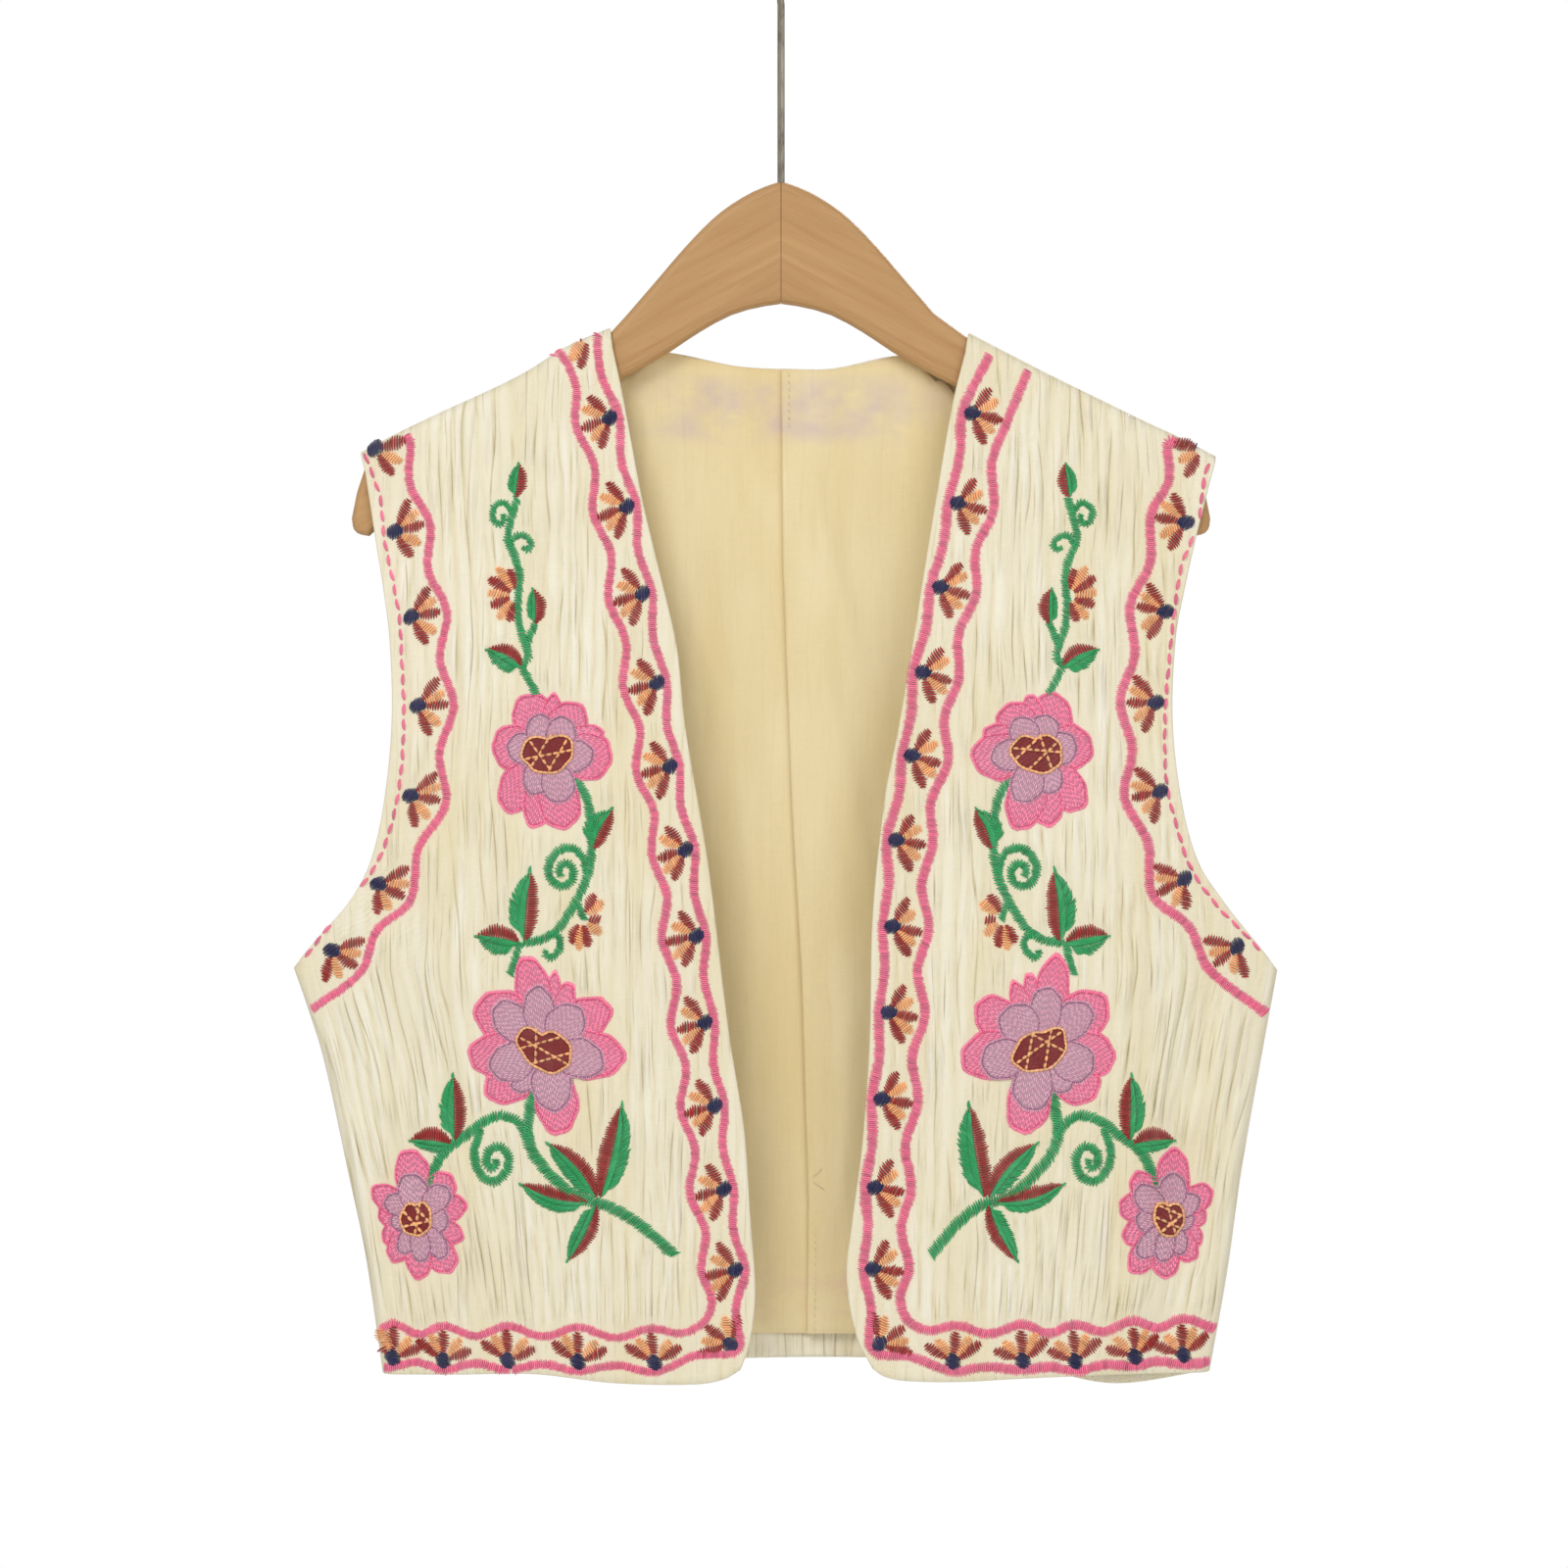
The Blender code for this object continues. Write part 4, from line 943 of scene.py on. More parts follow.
for face, place in SPRAYS.items():
    mirror = -1 if face == "right" else 1
    for width, points in STEMS:
        satin(
            face, "green", place(points), width * STEM_SHARE, STEM_PITCH,
            slant=0.5, jagged=STEM_JAG, lift=0.05,
        )
    for width, points in CURLS:
        satin(
            face, "green", place(points), width * STEM_SHARE, CURL_PITCH,
            slant=0.2, jagged=STEM_JAG, lift=0.1, ends=0.75,
        )
    for foot, tip, green, dark, side, bend in LEAVES:
        widths = green * LEAF_GREEN_SHARE, dark * LEAF_DARK_SHARE
        leaf(face, place(foot), place(tip), *widths, side * mirror, bend)
    for foot, angles, reaches in SMALL_FANS:
        foot = place(foot)
        for k, (angle, reach) in enumerate(zip(angles, reaches)):
            way = turned(np.array([1.0, 0.0]), flip(face, angle))
            thread = "peach" if k % 2 else "maroon"
            ends = foot + way * SMALL_PETAL_START, foot + way * reach
            petal(face, thread, *ends, SMALL_PETAL_WIDTH, PETAL_PITCH)
print("with stems and leaves:", sum(len(r) for rows in basket.values() for r in rows))

# %% [markdown]
# A flower is a heart with a ring of mauve petals over a ring of pink ones. Each petal
# is a scalloped oval: a thin raised pad, rows of short stitches on it that run out
# from the heart, and a corded line round its edge. A stitch that a later petal
# covers is left out. Each ring is a table of angle, reach from the heart's middle
# and half width, which were read off the photograph. The petals' edges are
# worked out from them.
# %% Flowers
FLOWERS = [
    (
        (-108.5, -404.5), [
            (110, 29, 11), (84, 27.5, 5), (57, 27, 10), (171, 26.5, 11), (22, 27.5, 6.5),
            (-5, 30.5, 11.5), (-128, 33.5, 10), (-100, 35.5, 8), (-77, 37, 10),
        ],
        [
            (170, 19.5, 8.2), (108, 18.8, 7.2), (57, 19, 7.6), (-6, 22, 8), (-112, 21, 7.6),
            (-72, 25, 8.4),
        ],
        (11.6, 9, 8),
    ),
    (
        (-109.9, -542.2), [
            (82, 36, 4.4), (101, 44.2, 8.6), (68, 33.6, 5.4), (142, 38.5, 12.5), (222, 34.6, 11),
            (187, 35.6, 11), (36, 36.8, 10), (-7, 37.4, 11.8), (256, 18.5, 5.4), (-78, 40.6, 10.4),
        ],
        [
            (236, 24.5, 6.8), (202, 27.4, 10), (139, 31.6, 8.8), (98, 30, 8), (50, 25.6, 10),
            (-79, 29.8, 10), (-15, 29.2, 9.8),
        ],
        (13.2, 9, -32),
    ),
    (
        (-169.6, -621.1), [
            (96, 32.4, 8.6), (18, 24.3, 7.4), (52, 26.4, 7.6), (175, 18.6, 6.4), (147, 25, 6.6),
            (-24, 23.6, 6.4), (-57, 30.4, 7.6), (217, 19.8, 6), (-120, 23.6, 6.8), (-87, 28.8, 7),
        ],
        [
            (190, 12.8, 5.4), (147, 17.8, 5.6), (98, 21.4, 7.6), (-6, 15.8, 6.2), (44, 21.4, 6.4),
            (-112, 19, 5), (-53, 23.6, 5.4), (-82, 21.4, 5.2),
        ],
        (8.2, 7, 78),
    ),
]
PAD_SIDES, PAD_HEIGHT, CORD_STITCH, RIM_STITCH = 40, 0.42, 1.9, 0.95
LEVELS = {"petal_pink": 0.1, "petal_mauve": 0.42, "heart": 0.74}
CORDS = {"petal_pink": "cord_pink", "petal_mauve": "cord_mauve", "heart": "heart_cord"}
NOTCH_DEPTH, NOTCH_HALF = 0.34, 0.36  # a share of the radius, and an angle
pads = []


def oval(centre, way, half_length, half_width, wave=0.035, notch=None):
    """A wavy oval: its middle, its axes, the depth of its waves and where it is notched."""
    side = np.array([-way[1], way[0]])
    axes = np.array([way * half_length, side * half_width])
    return {"centre": centre, "axes": axes, "wave": wave, "notch": notch}


def waves(shape, angle):
    """The radius of an oval's edge, as a factor that wavers round 1."""
    start = shape["centre"][0]
    factor = 1.0 + shape["wave"] * (np.cos(3 * angle + start) + 0.7 * np.cos(7 * angle + 2 * start))
    if shape["notch"] is None:
        return factor
    off = (angle - shape["notch"] + np.pi) % (2 * np.pi) - np.pi
    return factor + 0.05 - NOTCH_DEPTH * np.exp(-((off / NOTCH_HALF) ** 2))


def rim(shape, angle, scale=1.0):
    factor = scale * waves(shape, angle)
    flat = np.column_stack([np.cos(angle) * factor, np.sin(angle) * factor])
    return shape["centre"] + flat @ shape["axes"]


def share_of(shape, points):
    """How far out points lie in an oval: 0 in its middle, 1 on its edge."""
    flat = (points - shape["centre"]) @ np.linalg.inv(shape["axes"])
    return np.linalg.norm(flat, axis=1) / waves(shape, np.arctan2(flat[:, 1], flat[:, 0]))


def crown(share):
    """The height of a pad: level inside and rounded down to its edge."""
    return PAD_HEIGHT * np.sqrt(np.clip(1.0 - np.clip(share, 0.0, 1.0) ** 4, 0.0, 1.0))


def rows_in(shape, way, spacing, length, gap):
    """Stitches of a length in staggered rows along a direction, inside an oval."""
    side = np.array([-way[1], way[0]])
    reach = np.abs(shape["axes"]).sum() * 1.1
    starts, ends = [], []
    for k in range(int(-reach / spacing), int(reach / spacing) + 1):
        offset = (k % 3) * (length + gap) / 3 + rng.uniform(-0.8, 0.8)
        s = np.arange(-reach + offset, reach, length + gap)[:, None]
        line = shape["centre"] + side * k * spacing
        sway, stretch = rng.uniform(-0.34, 0.34, (2, len(s), 1))
        starts.append(line + way * (s - stretch) + side * sway)
        ends.append(line + way * (s + length + stretch) - side * sway)
    starts, ends = np.vstack(starts), np.vstack(ends)
    kept = (share_of(shape, starts) < 0.97) & (share_of(shape, ends) < 0.97)
    return starts[kept], ends[kept]


def uncovered(later, starts, ends):
    middle = (starts + ends) / 2
    kept = np.ones(len(middle), bool)
    for shape in later:
        kept &= share_of(shape, middle) > 0.96
    return kept


def flower(face, place, centre, outer, inner, heart):
    centre = place(centre)
    shapes = []
    for ring, thread in ((outer, "petal_pink"), (inner, "petal_mauve")):
        for angle, reach, half_width in ring:
            way = turned(np.array([1.0, 0.0]), flip(face, angle))
            half_length = max(1.05 * half_width, 0.42 * reach)
            middle = centre + way * (reach - half_length)
            shapes.append((thread, way, oval(middle, way, half_length, half_width)))
    way = turned(np.array([1.0, 0.0]), flip(face, heart[2]))
    notch = np.pi / 2 - math.atan2(way[1], way[0])
    core = oval(centre, way, heart[0], heart[1], 0.045, notch)
    shapes.append(("heart", way, core))
    for k, (thread, way, shape) in enumerate(shapes):
        later = [s for _, _, s in shapes[k + 1 :]]
        base = LEVELS[thread] + 0.02 * k
        pads.append((face, thread, shape, base))
        starts, ends = rows_in(shape, way, 0.9, 2.7, 0.3)
        kept = uncovered(later, starts, ends)
        height = base + crown(share_of(shape, (starts + ends) / 2)) - 0.12
        sew(face, thread, starts[kept], ends[kept], height[kept])
        girth = np.pi * np.linalg.norm(shape["axes"], axis=1).sum()
        angle = np.linspace(0.0, 2 * np.pi, int(girth / CORD_STITCH))
        edge = rim(shape, angle, 0.97 if thread == "heart" else 0.9)
        starts, ends = edge[:-1], edge[1:] + (edge[1:] - edge[:-1]) * 0.3
        kept = uncovered(later, starts, ends)
        sew(face, CORDS[thread], starts[kept], ends[kept], base + 0.36)
        if thread != "heart":
            angle = np.linspace(0.0, 2 * np.pi, int(girth / RIM_STITCH))[:-1]
            inner_scale = 0.9 - 0.05 * rng.random(len(angle))
            outer_scale = 1.0 + 0.035 * rng.random(len(angle))
            starts, ends = rim(shape, angle, inner_scale), rim(shape, angle, outer_scale)
            kept = uncovered(later, starts, ends)
            sew(face, thread, starts[kept], ends[kept], base + 0.12)
    lattice(face, core, LEVELS["heart"] + 0.02 * len(shapes))


def lattice(face, core, base):
    """Peach running stitches crossed over the heart."""
    for tilt, offsets in ((4.0, (-0.1,)), (58.0, (-0.42, 0.3)), (112.0, (0.35,))):
        for offset in offsets:
            a, b = math.radians(tilt), math.radians(tilt + 90.0)
            middle = np.array([math.cos(b), math.sin(b)]) * offset
            reach = math.sqrt(1.0 - offset**2) * 0.98
            way = np.array([math.cos(a), math.sin(a)])
            line = core["centre"] + (middle + np.outer([-reach, reach], way)) @ core["axes"]
            at, _ = walk(line, 3.3, curved=False)
            height = base + crown(share_of(core, (at[1:] + at[:-1]) / 2)) + 0.1
            sew(face, "heart_cord", at[:-1] + (at[1:] - at[:-1]) * 0.12, at[1:], height)


for face, place in SPRAYS.items():
    for centre, outer, inner, heart in FLOWERS:
        flower(face, place, centre, outer, inner, heart)
counts = {}
for (face, thread), rows in basket.items():
    counts[thread] = counts.get(thread, 0) + sum(len(r) for r in rows)
print("stitches by thread:", counts)

# %% [markdown]
# Where thread or a turned edge holds the cloth, it can't crinkle. A map on a grid of
# one millimetre marks those places for each panel: the stitches are marked, the marks
# are widened and then blurred. A second map marks the narrow turned edges, which
# stand a little proud because the cloth is doubled there.
# %% Maps of calm cloth
MAP_LOW = np.array([-260.0, -720.0])
MAP_STEPS = 520
EDGES = {
    "left": (FRONT_EDGE_LEFT, HEM_LEFT, ARMHOLE_LEFT),
    "right": (FRONT_EDGE_RIGHT, HEM_RIGHT, ARMHOLE_RIGHT),
    "back": (NECKLINE, BACK_HEM, ARMHOLE_LEFT, ARMHOLE_RIGHT),
}


def marked(points):
    grid = np.zeros((MAP_STEPS + 1, MAP_STEPS + 1))
    i = np.clip(np.round(points - MAP_LOW).astype(int), 0, MAP_STEPS)
    grid[i[:, 0], i[:, 1]] = 1.0
    return grid


def shifted(grid, reach, axis):
    return [np.roll(grid, s, axis) for s in range(-reach, reach + 1)]


def widened(grid, reach):
    for axis in (0, 1):
        grid = np.max(shifted(grid, reach, axis), axis=0)
    return grid


def blurred(grid, reach):
    for axis in (0, 1):
        grid = np.mean(shifted(grid, reach, axis), axis=0)
    return grid


def looked_up(grid, x, z):
    """A map's value between its grid points."""
    u = np.clip(x - MAP_LOW[0], 0.0, MAP_STEPS - 0.001)
    v = np.clip(z - MAP_LOW[1], 0.0, MAP_STEPS - 0.001)
    i, k = u.astype(int), v.astype(int)
    u, v = u - i, v - k
    low = grid[i, k] * (1 - u) + grid[i + 1, k] * u
    high = grid[i, k + 1] * (1 - u) + grid[i + 1, k + 1] * u
    return low * (1 - v) + high * v


def calm_map(face):
    sewn = np.vstack([r for (name, _), rows in basket.items() if name == face for r in rows])
    along = np.linspace(0.0, 1.0, 7)[:, None, None]
    points = (sewn[:, :2] + (sewn[:, 2:4] - sewn[:, :2]) * along).reshape(-1, 2)
    lines = np.vstack([smooth(line)(np.linspace(0.0, 1.0, 1500)) for line in EDGES[face]])
    turned_edge = blurred(widened(marked(lines), 5), 1)
    calm = np.maximum(blurred(widened(marked(points), 1), 2), 0.55 * turned_edge)
    return np.clip(calm * 1.25, 0.0, 1.0), turned_edge


MAPS = {face: calm_map(face) for face in EDGES}
for face, (calm, _) in MAPS.items():
    print(face, "is held calm over", round(calm.sum() / 100), "square centimetres")

# %% [markdown]
# The crinkle of the gauze is long and upright: soft ridges six to seven millimetres
# apart that waver, fade out and start again, with narrow valleys between them. Near
# a side they lean with its seam. A small noise function, the same each run, bends
# the ridges and varies their height, so that no two are alike.
# %% Crinkle
RIDGE_PITCH, RIDGE_HEIGHT = 6.6, 1.5
PUFF_HEIGHT, DRIFT_HEIGHT, EDGE_HEIGHT = 0.55, 1.3, 0.3
# Bends of the ridges: sway, size across and size up in mm, number added to the seed
BENDS = ((7.0, 30, 90, 0), (4.2, 13, 48, 1), (1.6, 6, 18, 5))
RIDGE_POWER, CALM_HOLD, LEAN_REACH = 0.6, 0.86, 120.0
UNDERARM = -505.0
SEEDS = {"left": 3.0, "right": 11.0, "back": 23.0}


def cloud(x, z, seed):
    """Smooth noise from 0 to 1, from values on a lattice."""
    i, k = np.floor(x), np.floor(z)
    u, v = ease(x - i), ease(z - k)

    def value(right, up):
        n = np.sin((i + right) * 127.1 + (k + up) * 311.7 + seed * 74.7) * 43758.5453
        return n - np.floor(n)

    low = value(0, 0) * (1 - u) + value(1, 0) * u
    high = value(0, 1) * (1 - u) + value(1, 1) * u
    return low * (1 - v) + high * v


def crinkle(face, x, z):
    """The cloth's relief in mm, and what its finish needs: crest, grain and slack."""
    seed = SEEDS[face]
    narrowed = side_reach(x, z) - side_reach(x, np.full_like(z, UNDERARM))
    lean = np.sign(x) * narrowed * (1.0 - ease(inset(x, z) / LEAN_REACH))
    grain = x - lean
    bent = grain
    for sway, wide, tall, more in BENDS:
        bent = bent + sway * cloud(grain / wide, z / tall, seed + more)
    ridge = np.abs(np.sin(np.pi * bent / RIDGE_PITCH)) ** RIDGE_POWER
    strength = 0.15 + 0.95 * cloud(grain / 10, z / 30, seed + 2) ** 1.3
    puff = cloud(grain / 6, z / 15, seed + 3) - 0.5
    drift = cloud(x / 42, z / 70, seed + 4) - 0.5
    calm, turned_edge = (looked_up(grid, x, z) for grid in MAPS[face])
    relief = RIDGE_HEIGHT * strength * (ridge - 0.35) + PUFF_HEIGHT * puff
    relief = relief * (1.0 - CALM_HOLD * calm) + DRIFT_HEIGHT * drift * ease(inset(x, z) / 30.0)
    relief = relief + EDGE_HEIGHT * turned_edge
    fade = (1.0 - ease(saddle_share(x, z))) * ease(inset(x, z) / 6.0)
    # crest: how high on a ridge each point lies; the gauze finish paints light on the ridges and shade
    # in the valleys from it
    crest = 0.5 + (ridge - 0.5) * strength * (1.0 - 0.7 * calm)
    return relief * fade, {"crest": crest, "grain": grain * MM, "slack": 1.0 - 0.8 * calm}


def cloth_y(face, x, z):
    relief = crinkle(face, x, z)[0]
    return plain_y(face, x, z) + FACES[face][0] * relief


sample = crinkle("left", *np.meshgrid(np.arange(-180.0, -60.0), np.arange(-600.0, -300.0)))[0]
print("crinkle from", round(float(sample.min()), 2), "to", round(float(sample.max()), 2), "mm")

# %% [markdown]
# A piece of cloth is a closed shell: a grid of points for its outer face, the same
# grid moved inwards, and a rounded strip along every open edge. The strip has one
# row of points pushed outwards between the two faces, but not at a seam, where two
# pieces meet.
# %% Shells
def set_values(mesh, key, numbers, kind="FLOAT"):
    """Gives each point of a mesh a number or a vector."""
    made = mesh.attributes.new(key, kind, "POINT")
    made.data.foreach_set("value" if kind == "FLOAT" else "vector", np.ravel(numbers))


def new_object(name, points, faces, finish, values=None):
    """A smooth mesh from points in mm, with a value for each point where given."""
    mesh = bpy.data.meshes.new(name)
    mesh.from_pydata((np.asarray(points) * MM).tolist(), [], faces)
    mesh.materials.append(finish)
    mesh.shade_smooth()
    for key, numbers in (values or {}).items():
        set_values(mesh, key, numbers)
    return placed(name, mesh)


def rim_edges(kept):
    """Grid points at both ends of each open edge, in their cell's own order."""
    wide = np.pad(kept, 1)
    pairs = []
    below, above = wide[:-1, 1:-1], wide[1:, 1:-1]
    for i, j in np.argwhere(below != above):
        a, b = (i, j), (i, j + 1)
        pairs.append((a, b) if above[i, j] else (b, a))
    before, after = wide[1:-1, :-1], wide[1:-1, 1:]
    for i, j in np.argwhere(before != after):
        a, b = (i, j), (i + 1, j)
        pairs.append((b, a) if after[i, j] else (a, b))
    return pairs


def shell(name, outer, inner, kept, push, finish, marks):
    rows, columns = outer.shape[:2]
    count = rows * columns
    number = np.arange(count).reshape(rows, columns)
    a, b = number[:-1, :-1][kept], number[:-1, 1:][kept]
    c, d = number[1:, 1:][kept], number[1:, :-1][kept]
    quads = np.concatenate(
        [np.column_stack([a, b, c, d]), np.column_stack([d, c, b, a]) + count]
    ).tolist()
    i, j = np.argwhere(kept)[len(a) // 2]
    square = np.cross(outer[i, j + 1] - outer[i, j], outer[i + 1, j] - outer[i, j])
    turn = 1.0 if np.dot(square, outer[i, j] - inner[i, j]) > 0 else -1.0
    out = np.zeros_like(outer)
    pairs = rim_edges(kept)
    for p, q in pairs:
        way = np.cross(outer[q] - outer[p], (outer[p] - inner[p]) * turn)
        way = way / max(np.linalg.norm(way), 1e-9)
        out[p] += way
        out[q] += way
    edge = sorted({p for pair in pairs for p in pair})
    middle = {p: 2 * count + k for k, p in enumerate(edge)}
    rim_points = []
    for p in edge:
        way = out[p] / max(np.linalg.norm(out[p]), 1e-9)
        rim_points.append((outer[p] + inner[p]) / 2 + way * push[p])
    for p, q in pairs:
        first, second = number[p], number[q]
        quads.append([int(second), int(first), middle[p], middle[q]])
        quads.append([middle[q], middle[p], int(first) + count, int(second) + count])
    points = np.vstack([outer.reshape(-1, 3), inner.reshape(-1, 3), rim_points])
    at_rim = [int(number[p]) for p in edge]
    used, quads = np.unique(np.array(quads), return_inverse=True)
    quads = quads.reshape(-1, 4)[:, :: int(turn)]
    values = {}
    for key, mark in marks.items():
        mark = mark.ravel()
        values[key] = np.concatenate([mark, mark, mark[at_rim]])[used]
    return new_object(name, points[used], quads.tolist(), finish, values)


print("a shell of 4 points has", len(rim_edges(np.ones((1, 1), bool))), "open edges")

# %% [markdown]
# Gauze is two thin layers of loosely woven cotton. Its colour is a warm cream with
# painted shade that makes it darker and yellower in the valleys of the crinkle, and
# painted light that makes it lighter on the ridges. Thin dark lines of painted shade
# lie in the narrow valleys of its fine pleats. Two stretched noises stand for the
# threads of the weave, and a wide soft one for faint stains. All of them read object
# coordinates in metres.
# The lining is a finer, yellower cotton, with faint tints of the embroidery's threads
# at its neck and foot.
# %% Gauze and lining
# Gauze colours on the crinkle's ridges and in its valleys: painted light and painted shade
GAUZE_RIDGE_LIGHT, GAUZE_VALLEY_SHADE = srgb(247, 240, 219), srgb(231, 219, 182)
GAUZE_STAIN = srgb(235, 222, 182)
# Painted shade: the colour of thin dark lines in the narrow valleys of the pleats
CREASE_SHADE = srgb(196, 176, 114)
# Fine pleats: pitch in metres, how far they bend in pitches, where their noise starts
WIDE_PLEATS, FINE_PLEATS = (0.0062, 2.2, 0.0), (0.0037, 2.8, 0.3)
LINING_COLOUR, LINING_AGED = srgb(243, 226, 182), srgb(232, 210, 156)


def weave(start, place, pitch):
    """Threads both ways: a noise drawn out along each."""
    fine = 1.0 / pitch
    upright = stretched_noise(start, place, (fine, fine, fine / 7))
    level = stretched_noise(start, place, (fine / 7, fine, fine * 1.15))
    return (upright + level) * 0.5


def drawn_noise(start, grain, height, across, along, detail=1.0):
    """Noise from 0 to 1 in a frame that leans with the grain; sizes in waves a metre."""
    return noise(start, vector(start, x=grain * across, z=height * along), detail)


def pleats(start, grain, height, pitch, wander, seed):
    """0 in each narrow valley between fine upright pleats to 1 on their crests."""
    bend = drawn_noise(start, grain + seed, height, 55.0, 13.0, 1.5) - 0.5
    phase = grain * (1.0 / pitch) + bend * wander
    return abs(phase.math("FRACT", phase) - 0.5) * 2.0


def cloth_finish(name, ridge, valley, stain, pitch, bump, creased, puffed, tints=()):
    made, start, shader = new_finish(name, 0.88, sheen=0.12, specular=0.25)
    place = object_place(start)
    crest, grain, slack = (attribute(start, name) for name in ("crest", "grain", "slack"))
    threads = weave(start, place, pitch)
    wide = stretched_noise(start, place, (46.0, 46.0, 8.0), detail=3.0)
    # The crest mark mixes the valley and ridge colours. On the gauze panels this is painted shade in the
    # crinkle's valleys and painted light on its ridges; on the lining and the hem's turn-up the crest is
    # a random noise.
    colour = (crest * 1.25 - 0.12).limited().mixed(valley, ridge)
    colour = ((wide - 0.46) * 3.2).limited().mixed(colour, stain)
    across, _, height = parts_of(place)
    here = ((drawn_noise(start, grain, height, 95.0, 26.0) - 0.4) * 4.5).limited() * slack
    there = ((drawn_noise(start, grain + 0.7, height, 120.0, 40.0) - 0.46) * 5.0).limited() * slack
    wide_pleats = pleats(start, grain, height, *WIDE_PLEATS)
    fine_pleats = pleats(start, grain, height, *FINE_PLEATS)
    # Painted shade: thin dark lines in the narrow valleys of the wide and the fine pleats
    lines = (1.0 - wide_pleats * 5.0).limited() * here * creased
    fine = (1.0 - fine_pleats * 4.5).limited() * there * (creased * 0.8)
    puffs = wide_pleats.math("POWER", wide_pleats, 0.55) * here
    puffs = puffs + fine_pleats.math("POWER", fine_pleats, 0.6) * there * 0.45
    colour = (lines + fine).limited().mixed(colour, CREASE_SHADE)
    for low, high, tint, amount in tints:
        band = 1.0 - abs((height - (low + high) / 2) / ((high - low) / 2))
        side = (1.6 - abs((across - 0.004) / 0.06)).limited()
        patches = ((stretched_noise(start, place, (42.0, 42.0, 60.0)) - 0.38) * 3.6).limited()
        patches = patches * (0.45 + threads * 1.1)
        colour = ((band * 2.2).limited() * side * patches * amount).limited().mixed(colour, tint)
    join(scaled(colour, 0.93 + threads * 0.14), shader["Base Color"])
    bumped(shader, threads * 0.22 + puffs * puffed, bump, 0.0011)
    return made


gauze = cloth_finish(
    "gauze_cotton", GAUZE_RIDGE_LIGHT, GAUZE_VALLEY_SHADE, GAUZE_STAIN, 0.0011, 0.85, 0.62, 1.15
)
lining_cotton = cloth_finish(
    "fine_lining_cotton", LINING_COLOUR, LINING_AGED, LINING_AGED, 0.0008, 0.3, 0.1, 0.1,
    tints=(
        (-0.262, -0.226, srgb(196, 170, 196), 0.42),
        (-0.672, -0.640, srgb(222, 160, 178), 0.35),
    ),
)
print("cloth finishes:", gauze.name, lining_cotton.name)

# %% [markdown]
# Each panel is sampled finely enough for the crinkle, about every millimetre and a
# half across and every four millimetres up. The panels keep the shape and the seams
# of the solids that they replace, and they are the same closed shells.
# %% Cloth panels
CLOTH_WALL = 1.3
ROUND_EDGE = 0.5
BODY_ROWS = np.concatenate([np.linspace(0.0, TIP_SHARE, 46)[:-1], np.linspace(TIP_SHARE, 1.0, 70)])
NEAR_SIDE = np.array([0.0, 0.003, 0.008, 0.015, 0.023])
OVER_ROWS = 10


def dressed(face, u, v):
    """Outer and inner points of a panel with its crinkle, and how high on a ridge they lie."""
    out = FACES[face][0]
    place = PANELS[face]
    outer = place(u, v)
    square = normals(place, u, v, (0.0, out, 0.0))
    relief, marks = crinkle(face, outer[..., 0], outer[..., 2])
    outer[..., 1] += out * (SEAM_GAP / 2 + relief * (v <= 2.0))
    return outer, outer - square * CLOTH_WALL, marks


def make_front(face, name, node, last, flat, area, rests):
    over = 1.0 + (last - 1.0) * np.linspace(0.0, 1.0, OVER_ROWS + 1)[1:]
    across = np.concatenate([NEAR_SIDE, np.linspace(0.032, 1.0, 144)])
    v, u = np.meshgrid(np.concatenate([BODY_ROWS, over]), across, indexing="ij")
    outer, inner, marks = dressed(face, u, v)
    push = np.full(v.shape, ROUND_EDGE)
    push[v[:, 0] < TIP_SHARE, 0] = 0.0
    push[-1] = 0.0
    kept = np.ones((v.shape[0] - 1, v.shape[1] - 1), bool)
    made = shell(name, outer, inner, kept, push, gauze, marks)
    return declared(made, node, flat, area, rests)


def declared(made, node, flat, area, rests):
    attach(made, "root")
    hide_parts(node)
    waiting.append((made, flat, area, rests))
    return made


def make_back():
    near = np.concatenate([NEAR_SIDE / 2, np.linspace(0.016, BACK_SHOULDER_SHARE, 76)])
    middle = np.linspace(BACK_SHOULDER_SHARE, 1.0 - BACK_SHOULDER_SHARE, 128)
    across = np.concatenate([near, middle[1:-1], 1.0 - near[::-1]])
    over = 1.0 + np.linspace(0.0, 1.0, OVER_ROWS + 1)[1:]
    forward = 2.0 + RIGHT_SEAM_TURN / 90.0 * np.linspace(0.0, 1.0, 4)[1:]
    v, u = np.meshgrid(np.concatenate([BODY_ROWS, over, forward]), across, indexing="ij")
    outer, inner, marks = dressed("back", u, v)
    cell_u, cell_v = (u[:-1, :-1] + u[1:, 1:]) / 2, (v[:-1, :-1] + v[1:, 1:]) / 2
    on_left, on_right = cell_u < BACK_SHOULDER_SHARE, cell_u > 1.0 - BACK_SHOULDER_SHARE
    kept = (cell_v < 1.0) | ((cell_v < 2.0) & on_left) | on_right
    push = np.where(v > 1.0, 0.25, ROUND_EDGE)
    push[v[:, 0] < TIP_SHARE, 0] = push[v[:, 0] < TIP_SHARE, -1] = 0.0
    push[v >= 2.0] = 0.0
    made = shell("back_cloth", outer, inner, kept, push, gauze, marks)
    arms = ("hanger_arm_left", "hanger_arm_right")
    return declared(made, "back", (0.46, 0.50), 0.19, arms)


waiting = []
make_front(
    "left", "left_front_cloth", "front_left", 2.0, (0.215, 0.49), 0.077, ("hanger_arm_left",)
)
make_front(
    "right", "right_front_cloth", "front_right", 2.0 - RIGHT_SEAM_TURN / 90.0, (0.205, 0.49), 0.073,
    ("hanger_arm_right",),
)
make_back()
for made, *_ in waiting:
    print(made.name, "has", 2 * len(made.data.polygons), "triangles")

